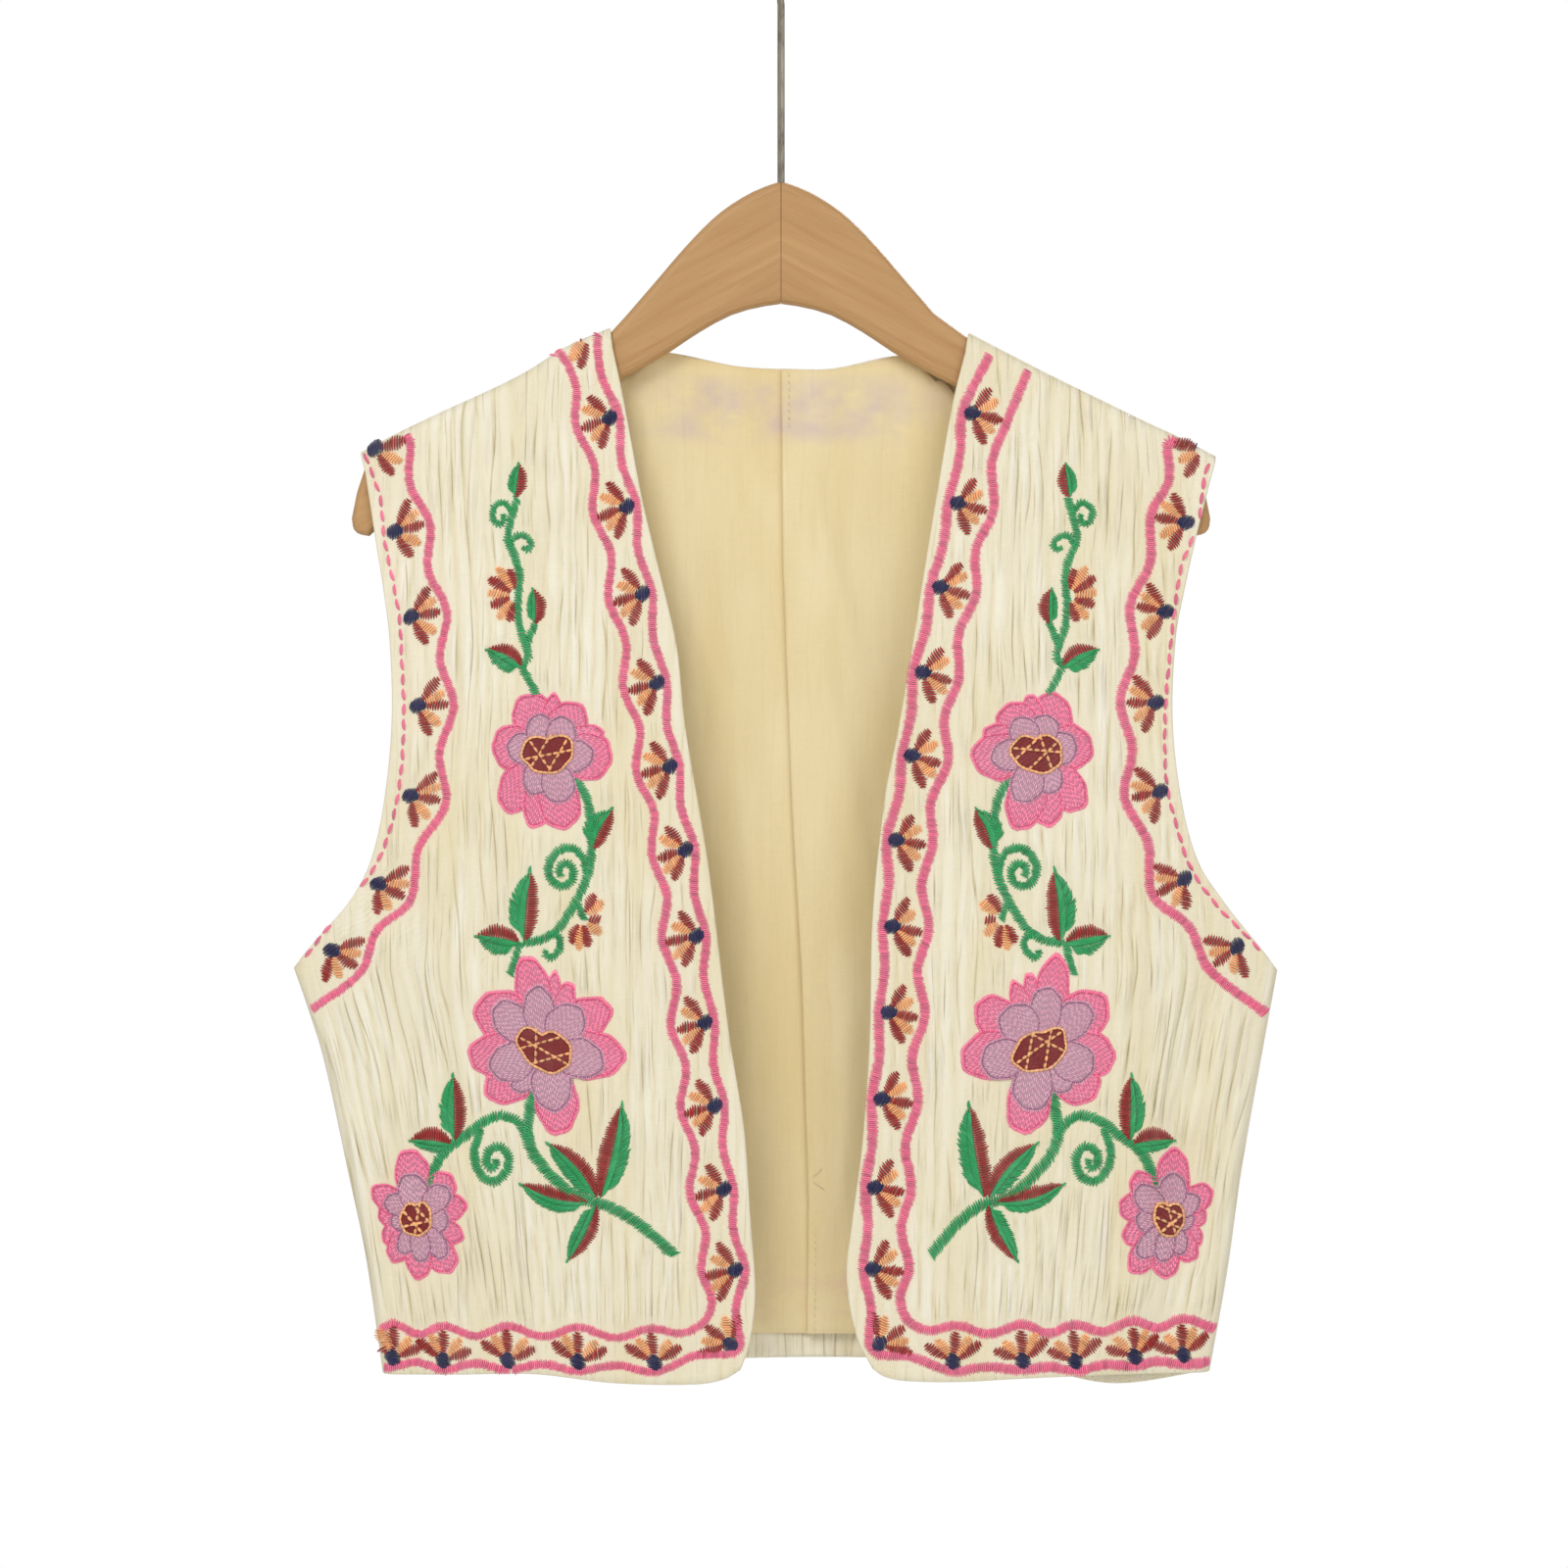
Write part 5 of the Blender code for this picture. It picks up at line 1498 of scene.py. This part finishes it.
# %% [markdown]
# The lining shows inside the neck. Its two halves meet in a seam that an ease pleat
# covers, which gives the back room to move. The pleat is a folded path across, the
# same at every height, and the soft folds that fan out of it come from a table.
# %% Lining
LINING_REACH, LINING_OFF_BACK, LINING_BELOW_EDGE = 150.0, 0.8, 0.8
LINING_SHOULDER_DROP, LINING_FOOT, LINING_NECK = 16.0, -676.2, 64.0
LINING_LIFT, LINING_LIFT_FROM = 2.2, -560.0
OUTER_WALL, LINING_WALL, LINING_CLOTH = 2.0, 1.0, 0.55
PLEAT_DEPTH, PLEAT_LAYER, PLEAT_EASE, PLEAT_SEAM = 12.0, 1.4, 42.0, 1.5
PLEAT_TURN_STEPS = 5
LINING_SHARES = np.linspace(0.0, 1.0, 81)


CORNER_RISE, CORNER_AT = 6.5, 75.5  # the lining is smoothed up under each arm


def lining_height(x):
    neck = np.array(NECKLINE)
    middle = np.interp(x, neck[:, 0], neck[:, 1]) - LINING_BELOW_EDGE
    beyond = np.clip(np.abs(x) - LINING_NECK, 0.0, None)
    drop = np.minimum(LINING_SHOULDER_DROP, beyond / SHOULDER_SLOPE)
    level = LINING_SHOULDER_DROP * SHOULDER_SLOPE
    corner = CORNER_RISE * np.exp(-(((np.abs(x) - CORNER_AT) / 6.0) ** 2))
    return middle - drop - SHOULDER_SLOPE * np.clip(beyond - level, 0.0, None) + corner


def lining_depth(x, z):
    """y of the middle of the lining's wall."""
    lift = LINING_LIFT * ease((LINING_LIFT_FROM - z) / (LINING_LIFT_FROM - LINING_FOOT))
    face = depth(BACK_SADDLE, BACK_BULGE, BACK_FOLDS, x, z) - OUTER_WALL - LINING_OFF_BACK
    return face - lift - folds(LINING_FOLDS, x, z) - LINING_WALL / 2


def pleat_edge(z):
    table = np.array(PLEAT_EDGE[::-1])
    return np.interp(z, table[:, 1], table[:, 0])


def pleat_path():
    """Offsets in x and y of the folded part, and which way is out."""
    r, far, top = PLEAT_LAYER / 2, PLEAT_DEPTH - PLEAT_LAYER / 2, -2 * PLEAT_LAYER
    turns = np.pi * np.arange(PLEAT_TURN_STEPS + 1) / PLEAT_TURN_STEPS
    path = [(far + 2 * r, top, 0.0, -1.0)]
    path += [(far * s, top, 0.0, -1.0) for s in (0.8, 0.6, 0.4, 0.2)]
    path += [(r - r * math.sin(a), top + r - r * math.cos(a), -math.sin(a), -math.cos(a)) for a in turns]
    path += [(far * s, -PLEAT_LAYER, 0.0, 1.0) for s in (0.3, 0.7)]
    path += [(far + r * math.sin(a), -r - r * math.cos(a), -math.sin(a), math.cos(a)) for a in turns]
    path += [(far / 2, 0.0, 0.0, -1.0), (PLEAT_SEAM, 0.0, 0.0, -1.0)]
    return np.array(path)


def lining_rows(x):
    return LINING_FOOT + (lining_height(x)[None, :] - LINING_FOOT) * LINING_SHARES[:, None]


def lining_relief(x, z):
    """Small slack in the thin cloth, in mm towards the front."""
    slack = cloud(x / 17, z / 60, 41.0) + 0.5 * cloud(x / 7, z / 21, 42.0) - 0.75
    return 1.1 * slack * ease((lining_height(x) - z) / 20.0)


def lining_piece(name, node, x, y, z, nx, ny, flat, area):
    relief = lining_relief(x, z)
    half = LINING_WALL / 2
    outer = np.stack([x + nx * half, y + ny * half - relief, z], axis=-1)
    inner = outer - np.stack([nx, ny, np.zeros_like(nx)], axis=-1) * LINING_CLOTH
    kept = np.ones((x.shape[0] - 1, x.shape[1] - 1), bool)
    push = np.zeros(x.shape)
    push[-1] = push[0] = 0.2
    crest = 0.35 + 0.5 * cloud(x / 15, z / 40, 43.0)
    marks = {"crest": crest, "grain": x * MM, "slack": np.ones(x.shape)}
    made = shell(name, outer, inner, kept, push, lining_cotton, marks)
    return declared(made, node, flat, area, ("back",))


def make_left_lining():
    share = np.linspace(0.0, 1.0, 71)
    z = lining_rows(-LINING_REACH + LINING_REACH * share)
    x = -LINING_REACH + (pleat_edge(z) + PLEAT_SEAM - 0.05 + LINING_REACH) * share[None, :]
    flat = (np.zeros_like(x), -np.ones_like(x))
    return lining_piece(
        "left_lining_cloth", "lining_left", x, lining_depth(x, z), z, *flat, (0.166, 0.455), 0.070
    )


def make_right_lining():
    path = pleat_path()
    share = np.linspace(1.0, 0.0, 71)[:-1]
    start = PLEAT_DEPTH + PLEAT_LAYER
    z = lining_rows(np.concatenate([start + (LINING_REACH - start) * share, path[:, 0]]))
    edge = pleat_edge(z)
    count = len(share)
    x = edge.copy()
    x[:, :count] += start + (LINING_REACH - start - edge[:, :count]) * share
    x[:, count:] += path[:, 0]
    y = lining_depth(x, z)
    y[:, :count] -= 2 * PLEAT_LAYER * (1.0 - ease((x - edge - start)[:, :count] / PLEAT_EASE))
    y[:, count:] = lining_depth(edge[:, count:] + PLEAT_DEPTH / 2, z[:, count:]) + path[:, 1]
    nx, ny = np.zeros_like(x), -np.ones_like(x)
    nx[:, count:], ny[:, count:] = path[:, 2], path[:, 3]
    return lining_piece(
        "right_lining_cloth", "lining_right", x, y, z, nx, ny, (0.180, 0.455), 0.0735
    )


def make_turn_up():
    """The back's hem, turned up inside, with the slack of a hand-sewn hem."""
    hem = np.array(BACK_HEM)
    x = np.linspace(BACK_HEM[0][0] + 14.0, BACK_HEM[-1][0] - 14.0, 181)
    low = np.interp(x, hem[:, 0], hem[:, 1]) + SEAM_GAP + 0.3
    high = LINING_FOOT + 4.0 + 0.8 * cloud(x / 9, x * 0.0, 51.0)
    z = low + (high - low) * np.linspace(0.0, 1.0, 9)[:, None]
    x = np.broadcast_to(x, z.shape).copy()
    y = depth(BACK_SADDLE, BACK_BULGE, BACK_FOLDS, x, z) - OUTER_WALL - SEAM_GAP - 1.5
    y = y - 0.7 * cloud(x / 6, z / 12, 52.0)
    outer = np.stack([x, y, z], axis=-1)
    kept = np.ones((x.shape[0] - 1, x.shape[1] - 1), bool)
    inner = outer + np.array([0.0, 0.9, 0.0])
    crest = 0.4 + 0.5 * cloud(x / 5, z / 9, 53.0)
    marks = {"crest": crest, "grain": x * MM, "slack": np.ones(x.shape)}
    made = shell("hem_turn_up_cloth", outer, inner, kept, np.full(x.shape, 0.25), gauze, marks)
    return declared(made, "back_hem_turn_up", (0.36, 0.022), 0.0067, ("back",))


make_left_lining()
make_right_lining()
make_turn_up()
for made, *_ in waiting[3:]:
    print(made.name, "has", 2 * len(made.data.polygons), "triangles")

# %% [markdown]
# Cotton and silk floss catch the light along each stitch. One finish is made for
# each colour. A stitch carries a number of its own, shade, which makes it a little
# lighter or darker than its neighbours, as light does on threads that lie at
# slightly different angles.
# %% Threads
COLOURS = {
    "pink": (252, 124, 160), "maroon": (166, 30, 26), "peach": (255, 184, 122),
    "navy": (32, 32, 84), "green": (44, 168, 98), "dash": (250, 112, 152),
    "petal_pink": (255, 142, 176), "petal_mauve": (226, 172, 192), "heart": (148, 34, 36),
    "cord_pink": (232, 86, 134), "cord_mauve": (160, 100, 136), "heart_cord": (255, 190, 128),
    "cream": (236, 226, 192),
}
# Thread width and rise in mm
SIZES = {
    "pink": (1.1, 0.42), "maroon": (1.24, 0.4), "peach": (1.24, 0.4), "navy": (0.9, 0.55),
    "green": (1.26, 0.42), "dash": (1.9, 0.5), "petal_pink": (0.86, 0.16),
    "petal_mauve": (0.74, 0.18), "heart": (0.9, 0.12), "cord_pink": (0.9, 0.12),
    "cord_mauve": (0.9, 0.12), "heart_cord": (1.65, 0.3), "cream": (0.6, 0.2),
}


def thread_finish(name, colour):
    made, start, shader = new_finish(name + "_thread", 0.5, sheen=0.25, specular=0.4)
    place = object_place(start)
    worn = stretched_noise(start, place, (90.0, 90.0, 90.0), detail=4.0)
    base = srgb(*colour)
    paler = srgb(*(c + (240 - c) * 0.22 for c in colour))
    tone = ((worn - 0.42) * 1.6).limited().mixed(base, paler)
    join(scaled(tone, 0.62 + attribute(start, "shade") * 0.72), shader["Base Color"])
    fibres = stretched_noise(start, place, (5200.0, 5200.0, 5200.0), detail=2.0)
    bumped(shader, fibres, 0.3, 0.0002)
    return made


thread_finishes = {name: thread_finish(name, colour) for name, colour in COLOURS.items()}
print(len(thread_finishes), "threads")

# %% [markdown]
# A tree of geometry nodes lays one stitch at each point of a mesh. The points carry
# the direction and length of the stitch and the way up from the cloth. The stitch is
# a short line that is bent into a low arch and thins where it dives into the cloth.
# Repeating it with instances keeps the tree small, and the instances are made real
# at its end, so that the result is a plain mesh.
# %% Stitch tree
def make_stitch_tree():
    tree = bpy.data.node_groups.new("laid_stitches", "GeometryNodeTree")
    tree.is_modifier = True
    sockets = [
        ("Geometry", "NodeSocketGeometry", None), ("Thread Width", "NodeSocketFloat", 0.0008),
        ("Rise", "NodeSocketFloat", 0.0004), ("Sink", "NodeSocketFloat", 0.0003),
        ("Segments", "NodeSocketInt", 3), ("Sides", "NodeSocketInt", 3),
        ("Seed", "NodeSocketInt", 5), ("Finish", "NodeSocketMaterial", None),
    ]
    for name, kind, value in sockets:
        made = tree.interface.new_socket(name, in_out="INPUT", socket_type=kind)
        if value is not None:
            made.default_value = value
    tree.interface.new_socket("Geometry", in_out="OUTPUT", socket_type="NodeSocketGeometry")
    start = Wire(tree)
    group = tree.nodes.new("NodeGroupInput")
    given = {s.name: Wire(tree, s) for s in group.outputs if s.name}
    line = start.make(
        "GeometryNodeCurvePrimitiveLine", None, {"Start": (-0.5, 0.0, 0.0), "End": (0.5, 0.0, 0.0)}
    )
    points = given["Segments"] + 1.0
    line = start.make("GeometryNodeResampleCurve", None, {"Curve": line, "Count": points})
    along = start.make("GeometryNodeSplineParameter", output="Factor") * 2.0 - 1.0
    arch = 1.0 - along * along
    lift = vector(start, z=arch * given["Rise"] - (1.0 - arch) * given["Sink"])
    line = start.make("GeometryNodeSetPosition", None, {"Geometry": line, "Offset": lift})
    section = start.make(
        "GeometryNodeCurvePrimitiveCircle", None,
        {"Resolution": given["Sides"], "Radius": given["Thread Width"] * 0.5},
    )
    thread = start.make(
        "GeometryNodeCurveToMesh", None,
        {"Curve": line, "Profile Curve": section, "Scale": 0.55 + arch * 0.5, "Fill Caps": True},
    )
    stored = ("GeometryNodeInputNamedAttribute", {"data_type": "FLOAT_VECTOR"})
    way, up = (start.make(*stored, {"Name": name}, 0) for name in ("along", "up"))
    turn = start.make(
        "FunctionNodeAxesToRotation", {"primary_axis": "X", "secondary_axis": "Z"},
        {"Primary Axis": way, "Secondary Axis": up},
    )
    length = start.make("ShaderNodeVectorMath", {"operation": "LENGTH"}, {0: way}, "Value")
    plump = start.make("FunctionNodeRandomValue", None, {2: 0.85, 3: 1.15, "Seed": given["Seed"]}, 1)
    scale = vector(start, length, 1.0, plump)
    laid = start.make(
        "GeometryNodeInstanceOnPoints", None,
        {"Points": given["Geometry"], "Instance": thread, "Rotation": turn, "Scale": scale},
    )
    laid = start.make("GeometryNodeRealizeInstances", None, {"Geometry": laid})
    laid = start.make("GeometryNodeSetShadeSmooth", None, {"Geometry": laid})
    laid = start.make("GeometryNodeSetMaterial", None, {"Geometry": laid, "Material": given["Finish"]})
    result = tree.nodes.new("NodeGroupOutput")
    join(laid, result.inputs["Geometry"])
    return tree


stitch_tree = make_stitch_tree()
print("nodes in the stitch tree:", len(stitch_tree.nodes))

# %% [markdown]
# Now every stitch of the basket is laid on the cloth. Both its ends are looked up on
# the crinkled surface. Where the cloth between them stands above the straight line
# from end to end, the stitch is raised to clear it.
# %% Lay the stitches
SLOPE_STEP = 0.6
PETAL_LIGHT, THREAD_LIGHT, LIGHT_SPREAD = 0.9, 0.56, 0.13


def surface_y(face, x, z):
    if face == "lining":
        plain = lining_depth(x, z) - LINING_WALL / 2 - lining_relief(x, z)
        past = (x - pleat_edge(z) - PLEAT_DEPTH - PLEAT_LAYER) / PLEAT_EASE
        return plain - 2 * PLEAT_LAYER * (1.0 - ease(past)) * (x > pleat_edge(z))
    return cloth_y(face, x, z)


def on_cloth(face, points):
    return np.column_stack([points[:, 0], surface_y(face, points[:, 0], points[:, 1]), points[:, 1]])


def laid(face, rows):
    """Middle, direction and way up of each stitch, in mm."""
    a, b, lift = rows[:, 0:2], rows[:, 2:4], rows[:, 4:5]
    middle = (a + b) / 2
    step_x, step_z = np.array([SLOPE_STEP, 0.0]), np.array([0.0, SLOPE_STEP])
    slopes = []
    for step in (step_x, step_z):
        rise = on_cloth(face, middle + step)[:, 1] - on_cloth(face, middle - step)[:, 1]
        slopes.append(rise / (2 * SLOPE_STEP))
    out = FACES[face][0] if face in FACES else -1.0
    up = out * np.column_stack([-slopes[0], np.ones(len(a)), -slopes[1]])
    up /= np.linalg.norm(up, axis=1, keepdims=True)
    start, end = on_cloth(face, a), on_cloth(face, b)
    bare = (start + end) / 2
    clear = np.clip(np.sum((on_cloth(face, middle) - bare) * up, axis=1, keepdims=True), 0.0, 1.5)
    return bare + up * (clear + lift), end - start, up


def with_tree(name, centres, along, up, thread):
    mesh = bpy.data.meshes.new(name)
    mesh.from_pydata((centres * MM).tolist(), [], [])
    for key, numbers in (("along", along * MM), ("up", up)):
        set_values(mesh, key, numbers, "FLOAT_VECTOR")
    light = PETAL_LIGHT if thread.startswith("petal") else THREAD_LIGHT
    set_values(mesh, "shade", np.clip(rng.normal(light, LIGHT_SPREAD, len(centres)), 0.0, 1.0))
    source = placed(name, mesh)
    laying = source.modifiers.new("laid_stitches", "NODES")
    laying.node_group = stitch_tree
    items = stitch_tree.interface.items_tree
    named = {item.name: item.identifier for item in items if item.in_out == "INPUT"}
    width, rise = SIZES[thread]
    laying[named["Thread Width"]] = width * MM
    laying[named["Rise"]] = rise * MM
    laying[named["Finish"]] = thread_finishes[thread]
    depsgraph = bpy.context.evaluated_depsgraph_get()
    real = bpy.data.meshes.new_from_object(source.evaluated_get(depsgraph), depsgraph=depsgraph)
    source.modifiers.remove(laying)
    for key in ("along", "up"):
        if key in real.attributes:
            real.attributes.remove(real.attributes[key])
    source.data = real
    real.name = name
    return source


FULL_NAMES = {"left": "left_front", "right": "right_front", "back": "back", "lining": "lining"}
on_panel = {face: [] for face in FULL_NAMES}
SEAM_ROWS = ((-226.5, -252.0), (-612.0, -675.0))
for high, low in SEAM_ROWS:
    z = np.arange(high, low, -3.4)
    x = pleat_edge(z) + 3.0
    sew("lining", "cream", np.column_stack([x, z]), np.column_stack([x + 0.2, z - 2.4]), 0.15)
TACK = np.array([(19.2, -599.2), (13.7, -604.2), (20.5, -609.2)])
sew("lining", "cream", TACK[:-1], TACK[1:], 0.4)
for (face, thread), rows in sorted(basket.items()):
    made = with_tree(f"{FULL_NAMES[face]}_{thread}_stitches", *laid(face, np.vstack(rows)), thread)
    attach(made, "root")
    on_panel[face].append(made)
total = sum(len(o.data.polygons) for group in on_panel.values() for o in group)
print("stitch objects:", sum(len(g) for g in on_panel.values()), "faces:", total)

# %% [markdown]
# The petals' pads are low closed mounds in their thread's colour, darkened by painted
# shade that shows in the gaps between the stitches which lie on them. Their top follows
# the cloth, rises at the edge and is level inside, and their foot is just under the cloth.
# %% Petal pads
PAD_SHARES = np.array([0.0, 0.35, 0.65, 0.85, 0.95, 1.0])
# PAD_SHADE darkens the pads: painted shade between the petals' stitches
PAD_FOOT, PAD_SHADE = 0.35, 0.04


def pad_points(face, shape, base):
    angle = np.linspace(0.0, 2 * np.pi, PAD_SIDES, endpoint=False)
    points, out = [], FACES[face][0]
    for share in PAD_SHARES[1:]:
        flat = rim(shape, angle, share)
        y = cloth_y(face, flat[:, 0], flat[:, 1]) + out * (base + crown(share))
        points.append(np.column_stack([flat[:, 0], y, flat[:, 1]]))
    foot = points[-1].copy()
    foot[:, 1] -= out * (base + PAD_FOOT)
    points.append(foot)
    x, z = np.array([shape["centre"][0]]), np.array([shape["centre"][1]])
    y = cloth_y(face, x, z)
    points.append([[x[0], y[0] + out * (base + PAD_HEIGHT), z[0]], [x[0], y[0] - out * PAD_FOOT, z[0]]])
    return np.vstack(points)


def pad_faces(first):
    rings = len(PAD_SHARES)
    top, bottom = first + rings * PAD_SIDES, first + rings * PAD_SIDES + 1
    faces = []
    for k in range(PAD_SIDES):
        n = (k + 1) % PAD_SIDES
        faces.append([top, first + k, first + n])
        for ring in range(rings - 1):
            a, b = first + ring * PAD_SIDES, first + (ring + 1) * PAD_SIDES
            faces.append([a + k, b + k, b + n, a + n])
        last = first + (rings - 1) * PAD_SIDES
        faces.append([bottom, last + n, last + k])
    return faces


def make_pads(face, thread):
    points, faces = [], []
    for name, kind, shape, base in pads:
        if (name, kind) == (face, thread):
            flipped = np.linalg.det(shape["axes"]) * FACES[face][0] > 0
            found = pad_faces(sum(len(p) for p in points))
            faces += [f[::-1] for f in found] if flipped else found
            points.append(pad_points(face, shape, base))
    points, name = np.vstack(points), f"{FULL_NAMES[face]}_{thread}_pads"
    shade = {"shade": np.full(len(points), PAD_SHADE)}
    made = new_object(name, points, faces, thread_finishes[thread], shade)
    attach(made, "root")
    on_panel[face].append(made)


for face in ("left", "right"):
    for thread in ("petal_pink", "petal_mauve", "heart"):
        make_pads(face, thread)
print("pads:", len(pads))

for made, flat, area, rests in waiting:
    print(made.name, "cut from", flat[0], "by", flat[1], "m")

# %% [markdown]
# The hanger is pale wood, whose grain runs along each arm. The pattern reads object
# coordinates that are turned to the arm's slope, with x taken without its sign, so
# one finish serves both arms. The hook is worn steel wire.
# %% Wood and wire
ARM_SLOPE = math.radians(28.0)


def wood_finish():
    made, start, shader = new_finish("pale_hanger_wood", 0.5, specular=0.4)
    place = object_place(start)
    folded = start.make("ShaderNodeVectorMath", {"operation": "ABSOLUTE"}, {0: place})
    x = parts_of(folded)[0]
    _, y, z = parts_of(place)
    run = x * math.cos(ARM_SLOPE) - z * math.sin(ARM_SLOPE)
    rise = x * math.sin(ARM_SLOPE) + z * math.cos(ARM_SLOPE)
    streaks = noise(start, vector(start, run * 9.0, y * 120.0, rise * 190.0), 5.0, 0.6, 0.6)
    pores = noise(start, vector(start, run * 60.0, y * 1400.0, rise * 1500.0), 3.0)
    tone = ((streaks - 0.3) * 1.8).limited().mixed(srgb(182, 138, 88), srgb(208, 165, 112))
    tone = ((pores - 0.62) * 3.0).limited().mixed(tone, srgb(150, 108, 64))
    join(tone, shader["Base Color"])
    join(0.42 + streaks * 0.2, shader["Roughness"])
    bumped(shader, streaks + pores, 0.25, 0.0004)
    return made


def wire_finish():
    made, start, shader = new_finish("worn_steel_wire", 0.3, metallic=1.0)
    place = object_place(start)
    wear = stretched_noise(start, place, (300.0, 300.0, 120.0), detail=4.0)
    tone = ((wear - 0.4) * 2.5).limited().mixed(srgb(158, 152, 136), srgb(104, 97, 82))
    join(tone, shader["Base Color"])
    join(0.22 + wear * 0.3, shader["Roughness"])
    return made


def glue_finish():
    made, start, shader = new_finish("brown_glue", 0.6)
    place = object_place(start)
    patches = stretched_noise(start, place, (400.0, 400.0, 60.0))
    tone = patches.mixed(srgb(166, 124, 80), srgb(190, 146, 98))
    join(tone, shader["Base Color"])
    return made


GLUE_TOP, GLUE_FOOT, GLUE_HALF_DEPTH, GLUE_HALF, GLUE_ROUND = -141.2, -194.3, 5.2, 0.14, 2.2


def make_glue_line():
    """A thin rounded slab in the gap where the two arms meet."""
    turns = np.radians(np.arange(0.0, 360.0, 15.0))
    half_height = (GLUE_TOP - GLUE_FOOT) / 2
    squared = np.sign(np.cos(turns)) * (GLUE_HALF_DEPTH - GLUE_ROUND) + GLUE_ROUND * np.cos(turns)
    tall = np.sign(np.sin(turns)) * (half_height - GLUE_ROUND) + GLUE_ROUND * np.sin(turns)
    middle = (GLUE_TOP + GLUE_FOOT) / 2
    sides = [
        np.column_stack([np.full_like(turns, side), squared, middle + tall])
        for side in (-GLUE_HALF, GLUE_HALF)
    ]
    n = len(turns)
    faces = [list(range(n))[::-1], list(range(n, 2 * n))]
    faces += [[k, (k + 1) % n, n + (k + 1) % n, n + k] for k in range(n)]
    made = new_object("glue_line", np.vstack(sides), faces, glue_finish())
    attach(made, "root")
    return made


make_glue_line()
wood, wire = wood_finish(), wire_finish()
for node, finish in (("hanger_arm_left", wood), ("hanger_arm_right", wood), ("hook", wire)):
    part = bpy.data.objects[node]
    if not part.material_slots:
        part.data.materials.append(finish)
    for slot in part.material_slots:
        slot.material = finish
print("arms and hook are finished")

# %% [markdown]
# A large soft light stands in front, above and to the left. A weaker one fills from
# the right, a third lights the back, and a pale world keeps the shade light. The
# floor is a plain pale sheet well below the hem.
# %% Light and floor
def new_light(name, place, size, power):
    data = bpy.data.lights.new(name, "AREA")
    data.shape, data.size, data.size_y, data.energy = "RECTANGLE", size, size, power
    made = placed(name, data)
    made.location = place
    way = np.array(MIDDLE) - np.array(place)
    made.rotation_euler = (
        math.acos(-way[2] / np.linalg.norm(way)),
        0.0,
        math.atan2(way[1], way[0]) - math.pi / 2,
    )


MIDDLE = (0.0, 0.0, -0.42)
new_light("key_light", (-1.0, -2.2, 1.2), 1.3, 30.0)
new_light("fill_light", (1.3, -2.4, 0.1), 1.6, 12.0)
new_light("back_light", (0.6, 2.6, 0.6), 1.4, 38.0)

world = bpy.data.worlds.new("studio")
world.use_nodes = True
bpy.context.scene.world = world
backdrop = world.node_tree.nodes["Background"]
start = Wire(world.node_tree)
seen = start.make("ShaderNodeLightPath", output="Is Camera Ray")
join(seen.mixed((0.52, 0.52, 0.52, 1.0), (1.0, 1.0, 1.0, 1.0)), backdrop.inputs["Color"])
bpy.context.scene.view_settings.view_transform = "Standard"

FLOOR = -1.05
floor_mesh = bpy.data.meshes.new("floor")
corners = [(-2.0, -2.0, FLOOR), (2.0, -2.0, FLOOR), (2.0, 2.0, FLOOR), (-2.0, 2.0, FLOOR)]
floor_mesh.from_pydata(corners, [], [(0, 1, 2, 3)])
floor = placed("floor", floor_mesh)
floor_finish, start, shader = new_finish("pale_floor", 0.9)
dust = stretched_noise(start, object_place(start), (3.0, 3.0, 3.0))
join(dust.mixed(srgb(226, 226, 224), srgb(232, 232, 230)), shader["Base Color"])
floor_mesh.materials.append(floor_finish)
floor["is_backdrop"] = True
print("lights:", len(bpy.data.lights))

# %% [markdown]
# The last cell prints how much the dressed model's box has grown over the imported
# one's, which should be no more than the cloth's relief, and ends the lesson.
# %% Sizes and end
low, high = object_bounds()
grown = [round(((h - l) - (ch - cl)) / MM, 2) for l, h, cl, ch in zip(low, high, cad_low, cad_high)]
print("grown by", grown, "mm")
